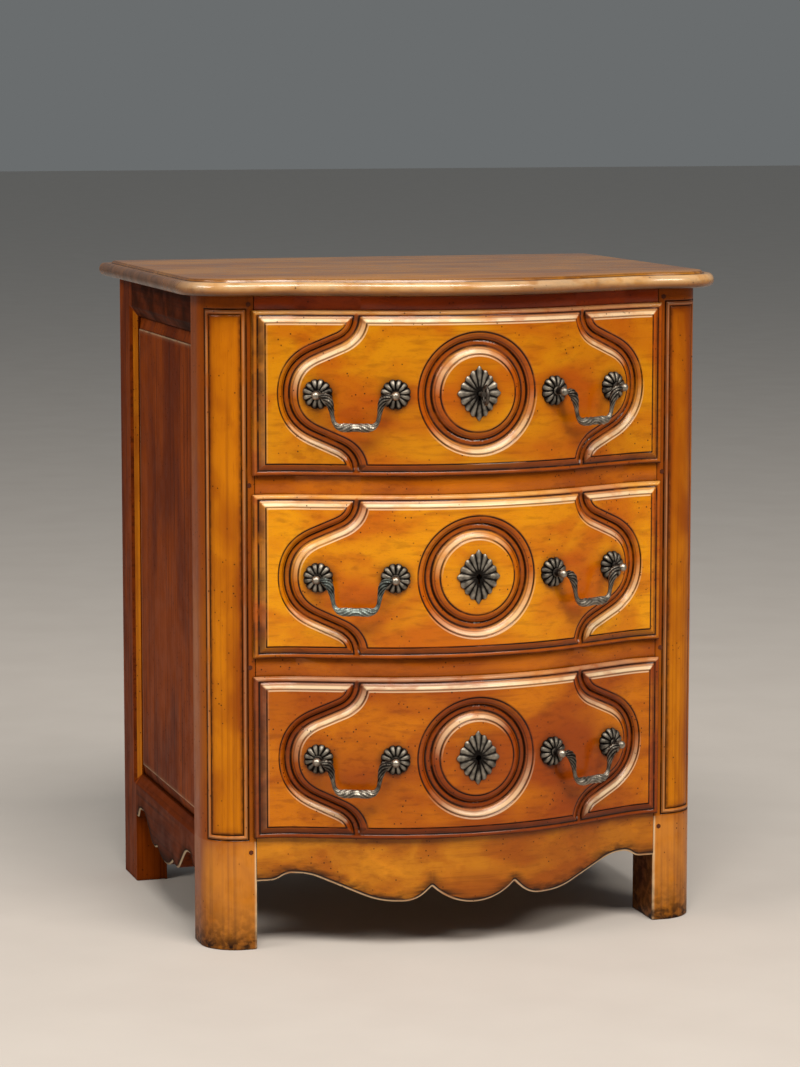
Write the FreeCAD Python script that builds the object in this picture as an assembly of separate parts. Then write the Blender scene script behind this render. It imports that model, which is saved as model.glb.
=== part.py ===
import FreeCAD, Part
import math
import os

# A free-standing chest of three bowed, carved drawers on four square posts.
# Millimetres, +Z up, the front faces -Y, the origin is on the floor under the middle of the whole piece.

Vector = FreeCAD.Vector

# Carcass: overall sizes and the bow of its front. The bow turns by more than its middle slope and less
# than twice that, and the middle arc's share of the two radii is what its hollow ends leave
carcass_width = 700.0
carcass_depth = 520.0
bow_sag = 72.0
bow_turn_share = 0.541
bow_middle_share = 0.742

# Drawer fronts and the spaces between them, from the floor up
first_lip_height = 152.5
lip_height = 218.6
lip_gap = 25.0
lip_overlap = 4.0
lip_side_overlap = 4.5
top_rail_height = 23.7
drawer_names = ["bottom", "middle", "top"]

# Top board: overhangs, nose and raised field
top_overhang = 28.0
top_back_overhang = 8.0
nose_thickness = 18.0
nose_round = 7.0
nose_steps = 3
field_inset = 16.0
field_step = 4.0

# Posts: the front ones have a rounded corner
post_width = 67.0
post_depth = 78.0
corner_radius = 50.0
rear_post_width = 45.0

# Rails across the front, their tenons and the pegs that pin them
rail_back = 62.0
apron_thickness = 25.0
apron_height = 94.2
tenon_setback = 8.0
tenon_thickness = 10.0
tenon_length = 20.0
tenon_shoulder = 5.0
peg_radius = 3.4
peg_sides = 6
peg_length = 30.0
peg_inset = 8.0
peg_proud = 0.4

# Side frames: rails, scalloped aprons and raised panels
side_thickness = 24.0
side_rail_height = 54.0
side_apron_top = 158.0
side_apron_height = 92.0
side_apron_slope_height = 14.0
side_apron_slope_depth = 9.0
tongue_thickness = 8.0
tongue_depth = 8.0
tongue_setback = 14.0
panel_relief = 7.0
panel_bevel = 22.0

# Back: rails and boards
rear_rail_height = 50.0
rear_rail_thickness = 20.0
rear_rail_low = 100.0
back_board_thickness = 10.0
back_board_count = 5
back_board_gap = 0.8

# Drawer runners with guides, and kickers over the top drawer
runner_thickness = 20.0
runner_inner_reach = 25.0
runner_outer_reach = 35.0
guide_height = 16.0
kicker_width = 25.0

# Drawer boxes
drawer_side_clearance = 1.5
drawer_bottom_clearance = 0.6
drawer_top_clearance = 2.5
drawer_front_clearance = 0.6
drawer_back_room = 80.0
front_inner_thickness = 15.0
drawer_side_thickness = 12.0
drawer_back_thickness = 12.0
drawer_bottom_thickness = 6.0
drawer_bottom_lift = 12.0
groove_depth = 5.0
rabbet_depth = 10.0
dado_depth = 4.0
dovetail_count = 4
dovetail_length = 10.0
dovetail_shoulder = 12.5
dovetail_wide_share = 0.66
dovetail_narrow_share = 0.46

# Faces of the drawer fronts: a thin lip that laps the frame, and a raised field inside it
lip_thickness = 7.4
field_rise = 5.0
edge_band = 11.5
slab_root = 4.0

# Handles: rosettes, posts with a ball, bails. The outer rosette ends just short of the bow's hollow end
handle_spacing = 96.0
handle_end_gap = 4.91
rosette_radius = 20.0
rosette_edge = 2.5
rosette_height = 8.0
rosette_crown_radius = 7.0
rosette_sides = 12
rosette_seat_clearance = 0.4
turned_sides = 8
shank_sides = 6
post_shank_radius = 3.0
post_hole_clearance = 0.2
post_collar_radius = 5.5
post_collar_height = 3.0
ball_radius = 6.5
ball_reach = 23.0
pin_radius = 1.8
pin_clearance = 0.35
pin_reach = 3.0
nut_radius = 6.0
nut_sides = 6
nut_height = 4.0
nut_seat_clearance = 0.3
bail_drop = 43.5
bail_neck_gap = 0.5
bail_sides = 6
grip_radius = 5.2
grip_ring_radius = 6.2
grip_ring_width = 5.0

# Escutcheons and keyholes
escutcheon_half_width = 29.0
escutcheon_half_height = 35.0
escutcheon_thickness = 3.0
escutcheon_scallops = 16
escutcheon_scallop_share = 0.035
keyhole_radius = 3.8
keyhole_slot_width = 3.0
keyhole_slot_drop = 9.5

# Locks: case let into the front, long bolt, staple
lock_width = 46.0
lock_above = 24.0
lock_below = 20.0
lock_thickness = 12.0
lock_let_in = 6.0
lock_cavity_reach = 9.0
bolt_width = 14.0
bolt_thickness = 4.0
bolt_clearance = 0.4
bolt_setback = 0.5
bolt_lift = 4.5
bolt_throw = 8.0
bolt_head_room = 1.5
staple_width = 26.0
staple_height = 8.0
staple_drop = 22.0
staple_wall = 2.0
mortise_spare = 3.0

# Key: shank, ring and bit
key_shank_radius = 2.8
key_shank_reach = 14.0
key_ring_height = 28.0
key_ring_depth = 23.0
key_ring_width = 4.0
key_ring_thickness = 3.6
key_bit_length = 8.0
key_bit_width = 3.0
key_ring_sides = 20

cut_overrun = 40.0

# Values worked out from the driving sizes
half_width = carcass_width / 2
half_opening = half_width - post_width
lip_half_width = half_opening + lip_side_overlap
lip_pitch = lip_height + lip_gap
opening_height = lip_height - 2 * lip_overlap
lowest_opening = first_lip_height + lip_overlap
carcass_top = lowest_opening + 2 * lip_pitch + opening_height + top_rail_height
rear_post_front = carcass_depth - post_depth
tenon_back = tenon_setback + tenon_thickness
tongue_outer = half_width - tongue_setback
tongue_inner = tongue_outer - tongue_thickness
ground_front = drawer_front_clearance + lip_thickness
field_front = ground_front + field_rise
drawer_half_width = half_opening - drawer_side_clearance
drawer_inner_half = drawer_half_width - drawer_side_thickness
drawer_back_face = carcass_depth - drawer_back_room
front_inner_face = front_inner_thickness - bow_sag
escutcheon_front = bow_sag + field_front + escutcheon_thickness
key_front = escutcheon_front + key_shank_reach + key_ring_depth
frame_shift = (key_front - carcass_depth - top_back_overhang) / 2
bow_turn = (1 + bow_turn_share) * math.atan(bow_sag / half_opening)
bow_radii = (half_opening * math.sin(bow_turn) - bow_sag * math.cos(bow_turn)) / (1 - math.cos(bow_turn))
bow_middle_radius = bow_middle_share * bow_radii
bow_end_radius = bow_radii - bow_middle_radius
bow_inner_joint = bow_middle_radius * math.sin(bow_turn)
bow_outer_joint = half_opening - bow_end_radius * math.sin(bow_turn)
handle_outer = bow_outer_joint - rosette_radius - handle_end_gap
handle_inner = handle_outer - handle_spacing


def block(low, high):
    """A box between two opposite corners."""
    size = [high[i] - low[i] for i in range(3)]
    return Part.makeBox(size[0], size[1], size[2], Vector(*low))


def mirrored(shape):
    """The same piece on the other side of the middle plane."""
    return shape.mirror(Vector(0, 0, 0), Vector(1, 0, 0))


def both_sides(shape):
    return [shape, mirrored(shape)]


def raised(shape, index):
    """A piece of the lowest drawer, lifted to the drawer with this number."""
    return shape.translated(Vector(0, 0, index * lip_pitch))


def save(name, shapes):
    """Write one node, a single solid or a group of like solids, with the origin under the middle."""
    shape = shapes[0] if len(shapes) == 1 else Part.makeCompound(shapes)
    shape.translated(Vector(0, frame_shift, 0)).exportStep("parts/" + name + ".step")


def bow(x):
    """How far the front stands out at x: a round middle, a straight run and a hollow end at each post."""
    reach = abs(x)
    if reach < bow_inner_joint:
        return bow_sag - bow_middle_radius + math.sqrt(bow_middle_radius ** 2 - reach ** 2)
    if reach < bow_outer_joint:
        return bow(bow_outer_joint) + (bow_outer_joint - reach) * math.tan(bow_turn)
    if reach < half_opening:
        return bow_end_radius - math.sqrt(bow_end_radius ** 2 - (half_opening - reach) ** 2)
    return 0


def bow_slope(x):
    """Change of the bow's depth with x on its round middle and its straight run, where the handles are."""
    turn = min(math.asin(min(abs(x) / bow_middle_radius, 1)), bow_turn)
    return -math.copysign(math.tan(turn), x)


def bow_edges(half_length, offset, height):
    """The bow as a chain of arcs and lines from left to right, moved forward by an offset."""
    right = [x for x in (bow_inner_joint, bow_outer_joint, half_opening) if x < half_length] + [half_length]
    stops = [-x for x in reversed(right)] + right

    def point(x):
        return Vector(x, -bow(x) - offset, height)

    edges = []
    for left, right in zip(stops, stops[1:]):
        middle = (left + right) / 2
        straight = bow_inner_joint < abs(middle) < bow_outer_joint or abs(middle) > half_opening
        if straight:
            edges.append(line(point(left), point(right)))
        else:
            edges.append(Part.Arc(point(left), point(middle), point(right)).toShape())
    return edges, point(-half_length), point(half_length)


def closed_face(edges):
    return Part.Face(Part.Wire(Part.sortEdges(edges)[0]))


def line(start, end):
    return Part.LineSegment(start, end).toShape()


def bowed_slab(half_length, front, back, low, high):
    """A board that follows the bow on both faces, between two forward offsets."""
    outer, outer_left, outer_right = bow_edges(half_length, front, low)
    inner, inner_left, inner_right = bow_edges(half_length, back, low)
    ends = [line(outer_left, inner_left), line(outer_right, inner_right)]
    return closed_face(outer + inner + ends).extrude(Vector(0, 0, high - low))


def bowed_board(half_length, offset, back, low, high):
    """A board with a bowed front and a straight back."""
    front, front_left, front_right = bow_edges(half_length, offset, low)
    left = Vector(-half_length, back, low)
    right = Vector(half_length, back, low)
    edges = front + [line(front_left, left), line(left, right), line(right, front_right)]
    return closed_face(edges).extrude(Vector(0, 0, high - low))


def flat_face(points):
    return Part.Face(Part.makePolygon(points + points[:1]))


def ring(sides, radius, centre, along, side):
    """The corners of a regular polygon square to a direction."""
    across = along.cross(side)
    points = []
    for i in range(sides):
        turn = 2 * math.pi * i / sides
        points.append(centre + side * (radius * math.cos(turn)) + across * (radius * math.sin(turn)))
    return points


def bar(sides, radius, start, along, length):
    """A straight bar with flat sides, level in the front view."""
    return flat_face(ring(sides, radius, start, along, Vector(0, 0, 1))).extrude(along * length)


def faceted(rings):
    """A solid with flat sides through a row of polygons."""
    faces = [flat_face(rings[0]), flat_face(rings[-1])]
    for near, far in zip(rings, rings[1:]):
        for i in range(len(near)):
            faces.append(flat_face([near[i - 1], near[i], far[i]]))
            faces.append(flat_face([near[i - 1], far[i], far[i - 1]]))
    return Part.Solid(Part.Shell(faces)).removeSplitter()


def opening_low(index):
    return lowest_opening + index * lip_pitch


# Joints of the front rails: each has a tenon and a peg at its right end, mirrored at the left

def rail_tenon(low, high):
    start = (half_opening, tenon_setback, low + tenon_shoulder)
    end = (half_opening + tenon_length, tenon_back, high - tenon_shoulder)
    return block(start, end)


def rail_peg(low, high):
    place = Vector(half_opening + peg_inset, -peg_proud, (low + high) / 2)
    return bar(peg_sides, peg_radius, place, Vector(0, 1, 0), peg_length)


apron_tenon_low = lowest_opening - apron_height / 2
front_rails = {
    "front_apron": (apron_tenon_low, lowest_opening),
    "lower_drawer_divider": (opening_low(0) + opening_height, opening_low(1)),
    "upper_drawer_divider": (opening_low(1) + opening_height, opening_low(2)),
    "front_top_rail": (opening_low(2) + opening_height, carcass_top),
}
tenons = {name: rail_tenon(*heights) for name, heights in front_rails.items()}
pegs = {name: rail_peg(*heights) for name, heights in front_rails.items()}


def side_tenon(low, high, rear):
    """Tenon of a side rail, towards the front post or the rear one."""
    middle = half_width - side_thickness / 2
    near = rear_post_front if rear else post_depth - tenon_length
    start = (middle - tenon_thickness / 2, near, low + tenon_shoulder)
    end = (middle + tenon_thickness / 2, near + tenon_length, high - tenon_shoulder)
    return block(start, end)


side_apron_tenon_low = side_apron_top - side_apron_height / 2
side_rail_low = carcass_top - side_rail_height
side_tenon_heights = [(side_rail_low, carcass_top), (side_apron_tenon_low, side_apron_top - tongue_depth)]


def panel_blank():
    """The panel's tongue all round, as it sits in the grooves of its frame."""
    low = (tongue_inner, post_depth - tongue_depth, side_apron_top - tongue_depth)
    high = (tongue_outer, rear_post_front + tongue_depth, side_rail_low + tongue_depth)
    return block(low, high)


def side_panel():
    """Raised panel: a bevel climbs from the tongue to a flat field."""
    def rectangle(x, inset):
        y_low = post_depth + inset
        y_high = rear_post_front - inset
        z_low = side_apron_top + inset
        z_high = side_rail_low - inset
        corners = [(y_low, z_low), (y_high, z_low), (y_high, z_high), (y_low, z_high), (y_low, z_low)]
        return Part.makePolygon([Vector(x, y, z) for y, z in corners])

    bevel_edges = [rectangle(tongue_outer, 0), rectangle(tongue_outer + panel_relief, panel_bevel)]
    field = Part.makeLoft(bevel_edges, True, True)
    return panel_blank().fuse(field).removeSplitter()


def front_post():
    outer = Vector(half_width, corner_radius, 0)
    start = Vector(half_width - corner_radius, 0, 0)
    diagonal = corner_radius * (1 - math.sqrt(1 / 2))
    middle = Vector(half_width - diagonal, diagonal, 0)
    inner_front = Vector(half_opening, 0, 0)
    inner_back = Vector(half_opening, post_depth, 0)
    outer_back = Vector(half_width, post_depth, 0)
    edges = [
        line(inner_front, start),
        Part.Arc(start, middle, outer).toShape(),
        line(outer, outer_back),
        line(outer_back, inner_back),
        line(inner_back, inner_front),
    ]
    post = closed_face(edges).extrude(Vector(0, 0, carcass_top))
    cuts = [panel_blank()] + list(tenons.values()) + list(pegs.values())
    cuts += [side_tenon(low, high, False) for low, high in side_tenon_heights]
    return post.cut(cuts)


def rear_post():
    inner = half_width - rear_post_width
    post = block((inner, rear_post_front, 0), (half_width, carcass_depth, carcass_top))
    cuts = [side_tenon(low, high, True) for low, high in side_tenon_heights]
    return post.cut(cuts + [panel_blank()])


def side_top_rail():
    low = (half_width - side_thickness, post_depth, side_rail_low)
    rail = block(low, (half_width, rear_post_front, carcass_top))
    ends = [side_tenon(side_rail_low, carcass_top, rear) for rear in (False, True)]
    return rail.fuse(ends).cut(panel_blank()).removeSplitter()


def rounded_path(points, radii):
    """Edges of straight runs joined by tangent arcs."""
    edges = []
    start = points[0]
    for i in range(1, len(points) - 1):
        before = points[i - 1] - points[i]
        after = points[i + 1] - points[i]
        half_angle = before.getAngle(after) / 2
        before.normalize()
        after.normalize()
        middle_line = before + after
        middle_line.normalize()
        back_off = radii[i - 1] / math.tan(half_angle)
        centre = points[i] + middle_line * (radii[i - 1] / math.sin(half_angle))
        arrive = points[i] + before * back_off
        leave = points[i] + after * back_off
        edges.append(line(start, arrive))
        edges.append(Part.Arc(arrive, centre - middle_line * radii[i - 1], leave).toShape())
        start = leave
    edges.append(line(start, points[-1]))
    return edges


def round_radius(before, corner, after, round_share):
    """Radius of an arc that rounds a corner off and takes up a share of its shorter run."""
    runs = [corner - before, after - corner]
    return round_share * min(run.Length for run in runs) / math.tan(runs[0].getAngle(runs[1]) / 2)


# Half of the side apron's lower edge, from the cusp beside its middle lobe to a post, as corners to be
# rounded: share of the half length, share of the height; then each arc's share of the shorter run
side_scroll_shares = [
    (0.264, 0.853), (0.41, 0.945), (0.70, 0.50), (0.88, 0.50), (0.945, 0.665), (1.0, 0.665),
]
side_round_shares = [0.7, 0.45, 0.45, 0.45]


def scalloped_edges(scroll_shares, round_shares, half_length, height, place):
    """Outline of an apron: below, a lobe between two cusps, and a scroll out to each end."""
    edges = []
    cusps = []
    for side in (-1, 1):
        points = [place(side * along * half_length, -down * height) for along, down in scroll_shares]
        radii = [round_radius(*points[i:i + 3], share) for i, share in enumerate(round_shares)]
        edges += rounded_path(points, radii)
        corner = place(side * half_length, 0)
        edges += [line(points[-1], corner), line(corner, place(0, 0))]
        cusps.append(points[0])
    return edges + [Part.Arc(cusps[0], place(0, -height), cusps[1]).toShape()]


def side_apron():
    """Lower side rail with a scalloped edge, its top sloping down to the panel's face."""
    middle = (post_depth + rear_post_front) / 2
    half_length = (rear_post_front - post_depth) / 2

    def place(along, down):
        return Vector(half_width, middle + along, side_apron_top + down)

    outline = scalloped_edges(side_scroll_shares, side_round_shares, half_length, side_apron_height, place)
    rail = closed_face(outline).extrude(Vector(-side_thickness, 0, 0))
    high = Vector(half_width - side_apron_slope_depth, post_depth, side_apron_top)
    low = Vector(half_width, post_depth, side_apron_top - side_apron_slope_height)
    corner = Vector(half_width, post_depth, side_apron_top)
    slope = Part.Face(Part.makePolygon([high, low, corner, high])).extrude(Vector(0, 2 * half_length, 0))
    ends = [side_tenon(side_apron_tenon_low, side_apron_top - tongue_depth, rear) for rear in (False, True)]
    return rail.cut([slope, panel_blank()]).fuse(ends).removeSplitter()


# Half of the front apron's lower edge, in the same shares
front_scroll_shares = [
    (0.205, 0.743), (0.283, 0.961), (0.452, 0.955), (0.76, 0.568),
    (0.859, 0.568), (0.912, 0.674), (1.0, 0.674),
]
front_round_shares = [0.6, 0.45, 0.5, 0.45, 0.45]


def front_apron():
    """Bowed front rail with a scalloped lower edge."""
    def place(along, down):
        return Vector(along, 0, lowest_opening + down)

    outline = scalloped_edges(front_scroll_shares, front_round_shares, half_opening, apron_height, place)
    reach = bow_sag + cut_overrun
    profile = closed_face(outline).translated(Vector(0, -reach, 0)).extrude(Vector(0, 2 * reach, 0))
    low = lowest_opening - apron_height - cut_overrun
    board = bowed_slab(half_opening, 0, -apron_thickness, low, lowest_opening).common(profile)
    apron = board.fuse(both_sides(tenons["front_apron"]))
    return apron.cut(both_sides(pegs["front_apron"])).removeSplitter()


def front_rail(name, index):
    """A bowed rail over one drawer, mortised for that drawer's bolt."""
    low, high = front_rails[name]
    rail = bowed_board(half_opening, 0, rail_back, low, high).fuse(both_sides(tenons[name]))
    mortise = raised(bolt_mortise(), index)
    return rail.cut(both_sides(pegs[name]) + [mortise]).removeSplitter()


def top_outline(overhang, back_overhang, height):
    """Outline of the top board: bowed front, corners that follow the posts, straight sides and back."""
    side = half_width + overhang
    radius = corner_radius + overhang
    back = carcass_depth + back_overhang
    start = half_width - corner_radius
    edges, left_end, right_end = bow_edges(start, overhang, height)
    for sign, near in ((-1, left_end), (1, right_end)):
        far = Vector(sign * side, corner_radius, height)
        turn = radius * math.sqrt(1 / 2)
        middle = Vector(sign * (start + turn), corner_radius - turn, height)
        rear = Vector(sign * side, back, height)
        edges += [Part.Arc(near, middle, far).toShape(), line(far, rear)]
    edges.append(line(Vector(-side, back, height), Vector(side, back, height)))
    return closed_face(edges)


def top_board():
    """Board with a rounded nose on three sides and a slightly raised, flat field."""
    sections = []
    for i in range(nose_steps + 1):
        turn = math.pi * (i / nose_steps - 1 / 2)
        inset = nose_round * (1 - math.cos(turn))
        height = carcass_top + nose_thickness * (1 + math.sin(turn)) / 2
        sections.append(top_outline(top_overhang - inset, top_back_overhang, height).OuterWire)
    nose = Part.makeLoft(sections, True, True)
    field_base = carcass_top + nose_thickness / 2
    field = top_outline(top_overhang - field_inset, top_back_overhang - field_inset, field_base)
    return nose.fuse(field.extrude(Vector(0, 0, nose_thickness / 2 + field_step))).removeSplitter()


def back_boards():
    span = 2 * (half_width - rear_post_width)
    width = (span - (back_board_count - 1) * back_board_gap) / back_board_count
    front = carcass_depth - back_board_thickness
    boards = []
    for i in range(back_board_count):
        left = i * (width + back_board_gap) - span / 2
        boards.append(block((left, front, rear_rail_low), (left + width, carcass_depth, carcass_top)))
    return boards


def rear_rail(low):
    reach = half_width - rear_post_width
    back = carcass_depth - back_board_thickness
    return block((-reach, back - rear_rail_thickness, low), (reach, back, low + rear_rail_height))


def runner(index):
    """Right-hand runner and guide of one drawer, from the front post to the rear one."""
    top = opening_low(index)
    inner = half_opening - runner_inner_reach
    outer = half_opening + runner_outer_reach
    bearer = block((inner, post_depth, top - runner_thickness), (outer, rear_post_front, top))
    guide = block((half_opening, post_depth, top), (outer, rear_post_front, top + guide_height))
    return bearer.fuse(guide).removeSplitter()


def kicker():
    """Strip over the top drawer's right side that keeps the drawer level when it is pulled out."""
    low = opening_low(2) + opening_height
    back = carcass_depth - back_board_thickness - rear_rail_thickness
    return block((half_opening - kicker_width, rail_back, low), (half_opening, back, carcass_top))


# Drawers

drawer_low = lowest_opening + drawer_bottom_clearance
drawer_high = lowest_opening + opening_height - drawer_top_clearance
drawer_middle = lowest_opening + opening_height / 2
drawer_floor = drawer_low + drawer_bottom_lift + drawer_bottom_thickness


def drawer_front(fittings):
    """Bowed front: a block inside the opening, a lip over the frame and a raised field."""
    low = drawer_middle - lip_height / 2
    high = drawer_middle + lip_height / 2
    field_half_width = lip_half_width - edge_band
    block_front = drawer_front_clearance + slab_root
    field_back = ground_front - slab_root / 2
    inner = bowed_slab(drawer_half_width, block_front, -front_inner_thickness, drawer_floor, drawer_high)
    lip = bowed_slab(lip_half_width, ground_front, drawer_front_clearance, low, high)
    field = bowed_slab(field_half_width, field_front, field_back, low + edge_band, high - edge_band)
    return lip.fuse([inner, field]).cut(fittings).removeSplitter()


def drawer_side():
    """Right drawer side with tails at its front end that key into the front."""
    shoulder = dovetail_shoulder
    front = shoulder - dovetail_length
    low = (drawer_inner_half, shoulder, drawer_low)
    board = block(low, (drawer_half_width, drawer_back_face, drawer_high))
    pitch = (drawer_high - drawer_floor) / dovetail_count
    wide = pitch * dovetail_wide_share / 2
    narrow = pitch * dovetail_narrow_share / 2
    outline = [(front, -wide), (shoulder, -narrow), (shoulder, narrow), (front, wide)]
    tails = []
    for i in range(dovetail_count):
        middle = drawer_floor + pitch * (i + 1 / 2)
        points = [Vector(drawer_inner_half, y, middle + z) for y, z in outline]
        tails.append(flat_face(points).extrude(Vector(drawer_side_thickness, 0, 0)))
    return board.fuse(tails).removeSplitter()


def drawer_back():
    reach = drawer_inner_half + dado_depth
    front = drawer_back_face - drawer_back_thickness
    return block((-reach, front, drawer_floor), (reach, drawer_back_face, drawer_high))


def drawer_bottom():
    """Thin board in grooves of the sides, nailed up under the back and into a rabbet of the bowed front."""
    reach = drawer_inner_half + groove_depth
    offset = rabbet_depth - front_inner_thickness
    return bowed_board(reach, offset, drawer_back_face, drawer_low + drawer_bottom_lift, drawer_floor)


# Locks and keyholes

bolt_front = front_inner_face + bolt_setback
bolt_back = bolt_front + bolt_thickness
bolt_top = lowest_opening + opening_height - bolt_head_room
lock_front = front_inner_face - lock_let_in
lock_back = lock_front + lock_thickness


def keyhole(near, far):
    """Hole with a slot below it."""
    half_slot = keyhole_slot_width / 2
    slot = block((-half_slot, near, drawer_middle - keyhole_slot_drop), (half_slot, far, drawer_middle))
    start = Vector(0, near, drawer_middle)
    return bar(turned_sides, keyhole_radius, start, Vector(0, 1, 0), far - near).fuse(slot)


def bolt_box(clearance, low, high):
    half = bolt_width / 2 + clearance
    return block((-half, bolt_front - clearance, low), (half, bolt_back + clearance, high))


def lock_bolt():
    """Long flat bolt that rises from the lock to the top of the drawer front."""
    return bolt_box(0, drawer_middle + bolt_lift, bolt_top)


def bolt_mortise():
    """Slot in the rail over a drawer that takes the thrown bolt."""
    low = lowest_opening + opening_height - cut_overrun
    return bolt_box(bolt_clearance, low, bolt_top + bolt_throw + mortise_spare)


def lock_pocket():
    """The space that a lock case and its staple take in the wood."""
    half = lock_width / 2
    bottom = drawer_middle - lock_below
    case = block((-half, lock_front, bottom), (half, lock_back, drawer_middle + lock_above))
    half = staple_width / 2
    low = drawer_high - staple_drop
    back = bolt_back + bolt_clearance + staple_wall
    staple = block((-half, bolt_front - bolt_clearance, low), (half, back, low + staple_height))
    return [case, staple]


def lock_solids():
    """Lock case, hollow where the bit turns and the bolt slides, and the staple that guides the bolt."""
    case, staple = lock_pocket()
    reach = lock_cavity_reach
    cavity = block((-reach, bolt_front - bolt_clearance, drawer_middle - reach),
                   (reach, bolt_back + bolt_clearance, drawer_middle + reach))
    channel = bolt_box(bolt_clearance, drawer_middle, drawer_high + cut_overrun)
    case = case.cut([cavity, channel, keyhole(lock_front - cut_overrun, bolt_back)])
    return [case, staple.cut(channel)]


def escutcheon():
    """Lozenge plate with a scalloped edge and a keyhole."""
    back = -bow_sag - field_front
    count = 2 * escutcheon_scallops
    points = []
    for i in range(count):
        turn = 2 * math.pi * i / count
        lozenge = 1 / math.sqrt(abs(math.cos(turn)) + abs(math.sin(turn)))
        ripple = 1 + escutcheon_scallop_share * math.cos(escutcheon_scallops * turn)
        across = escutcheon_half_width * lozenge * ripple * math.cos(turn)
        up = escutcheon_half_height * lozenge * ripple * math.sin(turn)
        points.append(Vector(across, back, drawer_middle + up))
    plate = flat_face(points).extrude(Vector(0, -escutcheon_thickness, 0))
    return plate.cut(keyhole(back - cut_overrun, back + cut_overrun))


def key():
    """Key in the top lock: oval ring, round shank and a bit that points down."""
    ring_centre = key_ring_depth / 2 - key_front
    shank_start = Vector(0, key_ring_depth - key_ring_width - key_front, drawer_middle)
    shank = Part.makeCylinder(key_shank_radius, bolt_back - shank_start.y, shank_start, Vector(0, 1, 0))

    def oval(inset):
        points = []
        for i in range(key_ring_sides):
            turn = 2 * math.pi * i / key_ring_sides
            y = ring_centre + (key_ring_depth / 2 - inset) * math.cos(turn)
            z = drawer_middle + (key_ring_height / 2 - inset) * math.sin(turn)
            points.append(Vector(-key_ring_thickness / 2, y, z))
        return flat_face(points).extrude(Vector(key_ring_thickness, 0, 0))

    half = key_bit_width / 2
    bit = block((-half, bolt_front, drawer_middle - key_bit_length), (half, bolt_back, drawer_middle))
    return oval(0).cut(oval(key_ring_width)).fuse([shank, bit]).removeSplitter()


# Handles: each hangs between two posts that stand square to the bowed face

def handle_frame(x):
    """Seat of a handle post on the raised field: the point and the direction straight out of the wood."""
    seat = Vector(x, -bow(x) - field_front, drawer_middle)
    out = Vector(-bow_slope(x), -1, 0)
    out.normalize()
    return seat, out


def ball_centre(x):
    seat, out = handle_frame(x)
    return seat + out * ball_reach


def turned(profile, seat, out, sides):
    """A turned or cast piece: rings of (radius, distance out of the wood) joined by straight sides."""
    up = Vector(0, 0, 1)
    return faceted([ring(sides, radius, seat + out * height, out, up) for radius, height in profile])


def rosette(x):
    """Domed flower behind a handle post, just clear of the curved wood."""
    seat, out = handle_frame(x)
    half_height = (rosette_edge + rosette_height) / 2 + rosette_edge / 2
    half_radius = (rosette_radius + rosette_crown_radius) / 2
    profile = [(rosette_radius, rosette_seat_clearance), (rosette_radius, rosette_edge)]
    profile += [(half_radius, half_height), (rosette_crown_radius, rosette_height)]
    return turned(profile, seat, out, rosette_sides).cut(post_hole(x))


def shank_length(x):
    """How far a handle post's shank runs back, to the nut on the inside of the front."""
    return (field_front + front_inner_thickness) / math.sqrt(1 + bow_slope(x) ** 2)


# A ball as rings: shares of its radius, along the line out of the wood and across it
ball_shares = [(-0.85, 0.53), (-0.4, 0.93), (0.4, 0.93), (0.85, 0.53)]


def handle_post(x, other):
    """Shank, collar, neck and drilled ball; the hole points at the other post."""
    seat, out = handle_frame(x)
    back = shank_length(x)
    shank = bar(shank_sides, post_shank_radius, seat - out * back, out, back + rosette_height)
    collar_top = rosette_height + post_collar_height
    profile = [(post_collar_radius, rosette_height), (post_collar_radius, collar_top)]
    profile += [(across * ball_radius, ball_reach + along * ball_radius) for along, across in ball_shares]
    towards = ball_centre(other) - ball_centre(x)
    towards.normalize()
    bore_radius = (pin_radius + pin_clearance) / math.cos(math.pi / shank_sides)
    bore = bar(shank_sides, bore_radius, ball_centre(x) - towards * pin_reach, towards, cut_overrun)
    return turned(profile, seat, out, turned_sides).fuse(shank).cut(bore)


def nut(x):
    """Closed six-sided nut on the inside of the front."""
    seat, out = handle_frame(x)
    inside = seat - out * (shank_length(x) + nut_seat_clearance)
    return bar(nut_sides, nut_radius, inside, out * -1, nut_height)


def post_hole(x):
    """Clearance hole for the shank of a handle post."""
    seat, out = handle_frame(x)
    radius = post_shank_radius + post_hole_clearance
    return bar(shank_sides, radius, seat - out * cut_overrun, out, 2 * cut_overrun)


# Half of a bail, from its pin to the ring on its grip: shares of the half length, of the drop and of the
# grip's radius
bail_shares = [
    (0.20, 0.01, 0.62), (0.29, 0.10, 0.56), (0.365, 0.60, 0.42),
    (0.42, 0.82, 0.52), (0.55, 0.97, 0.76), (0.81, 1.0, 1.0),
]


def bail(x, other):
    """Swan-necked bail: pins in the two balls, leafy ends, thin necks and a thick grip with a ring."""
    first = ball_centre(x)
    axis = ball_centre(other) - first
    length = axis.Length
    axis.normalize()
    down = Vector(0, 0, -1)
    out = axis.cross(down)
    ring_end = (length - grip_ring_width) / 2
    half = [(pin_clearance - pin_reach, 0, pin_radius), (ball_radius + bail_neck_gap, 0, pin_radius)]
    for along, drop, size in bail_shares:
        half.append((along * length / 2, drop * bail_drop, size * grip_radius))
    half.append((ring_end - bail_neck_gap, bail_drop, grip_radius))
    half.append((ring_end, bail_drop, grip_ring_radius))
    stations = half + [(length - along, drop, size) for along, drop, size in reversed(half)]
    centres = [first + axis * along + down * drop for along, drop, size in stations]
    sections = []
    for i, (along, drop, size) in enumerate(stations):
        before = centres[max(i - 1, 0)]
        after = centres[min(i + 1, len(centres) - 1)]
        direction = (after - before).normalize()
        sections.append(ring(bail_sides, size, centres[i], direction, out))
    return faceted(sections)


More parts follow.
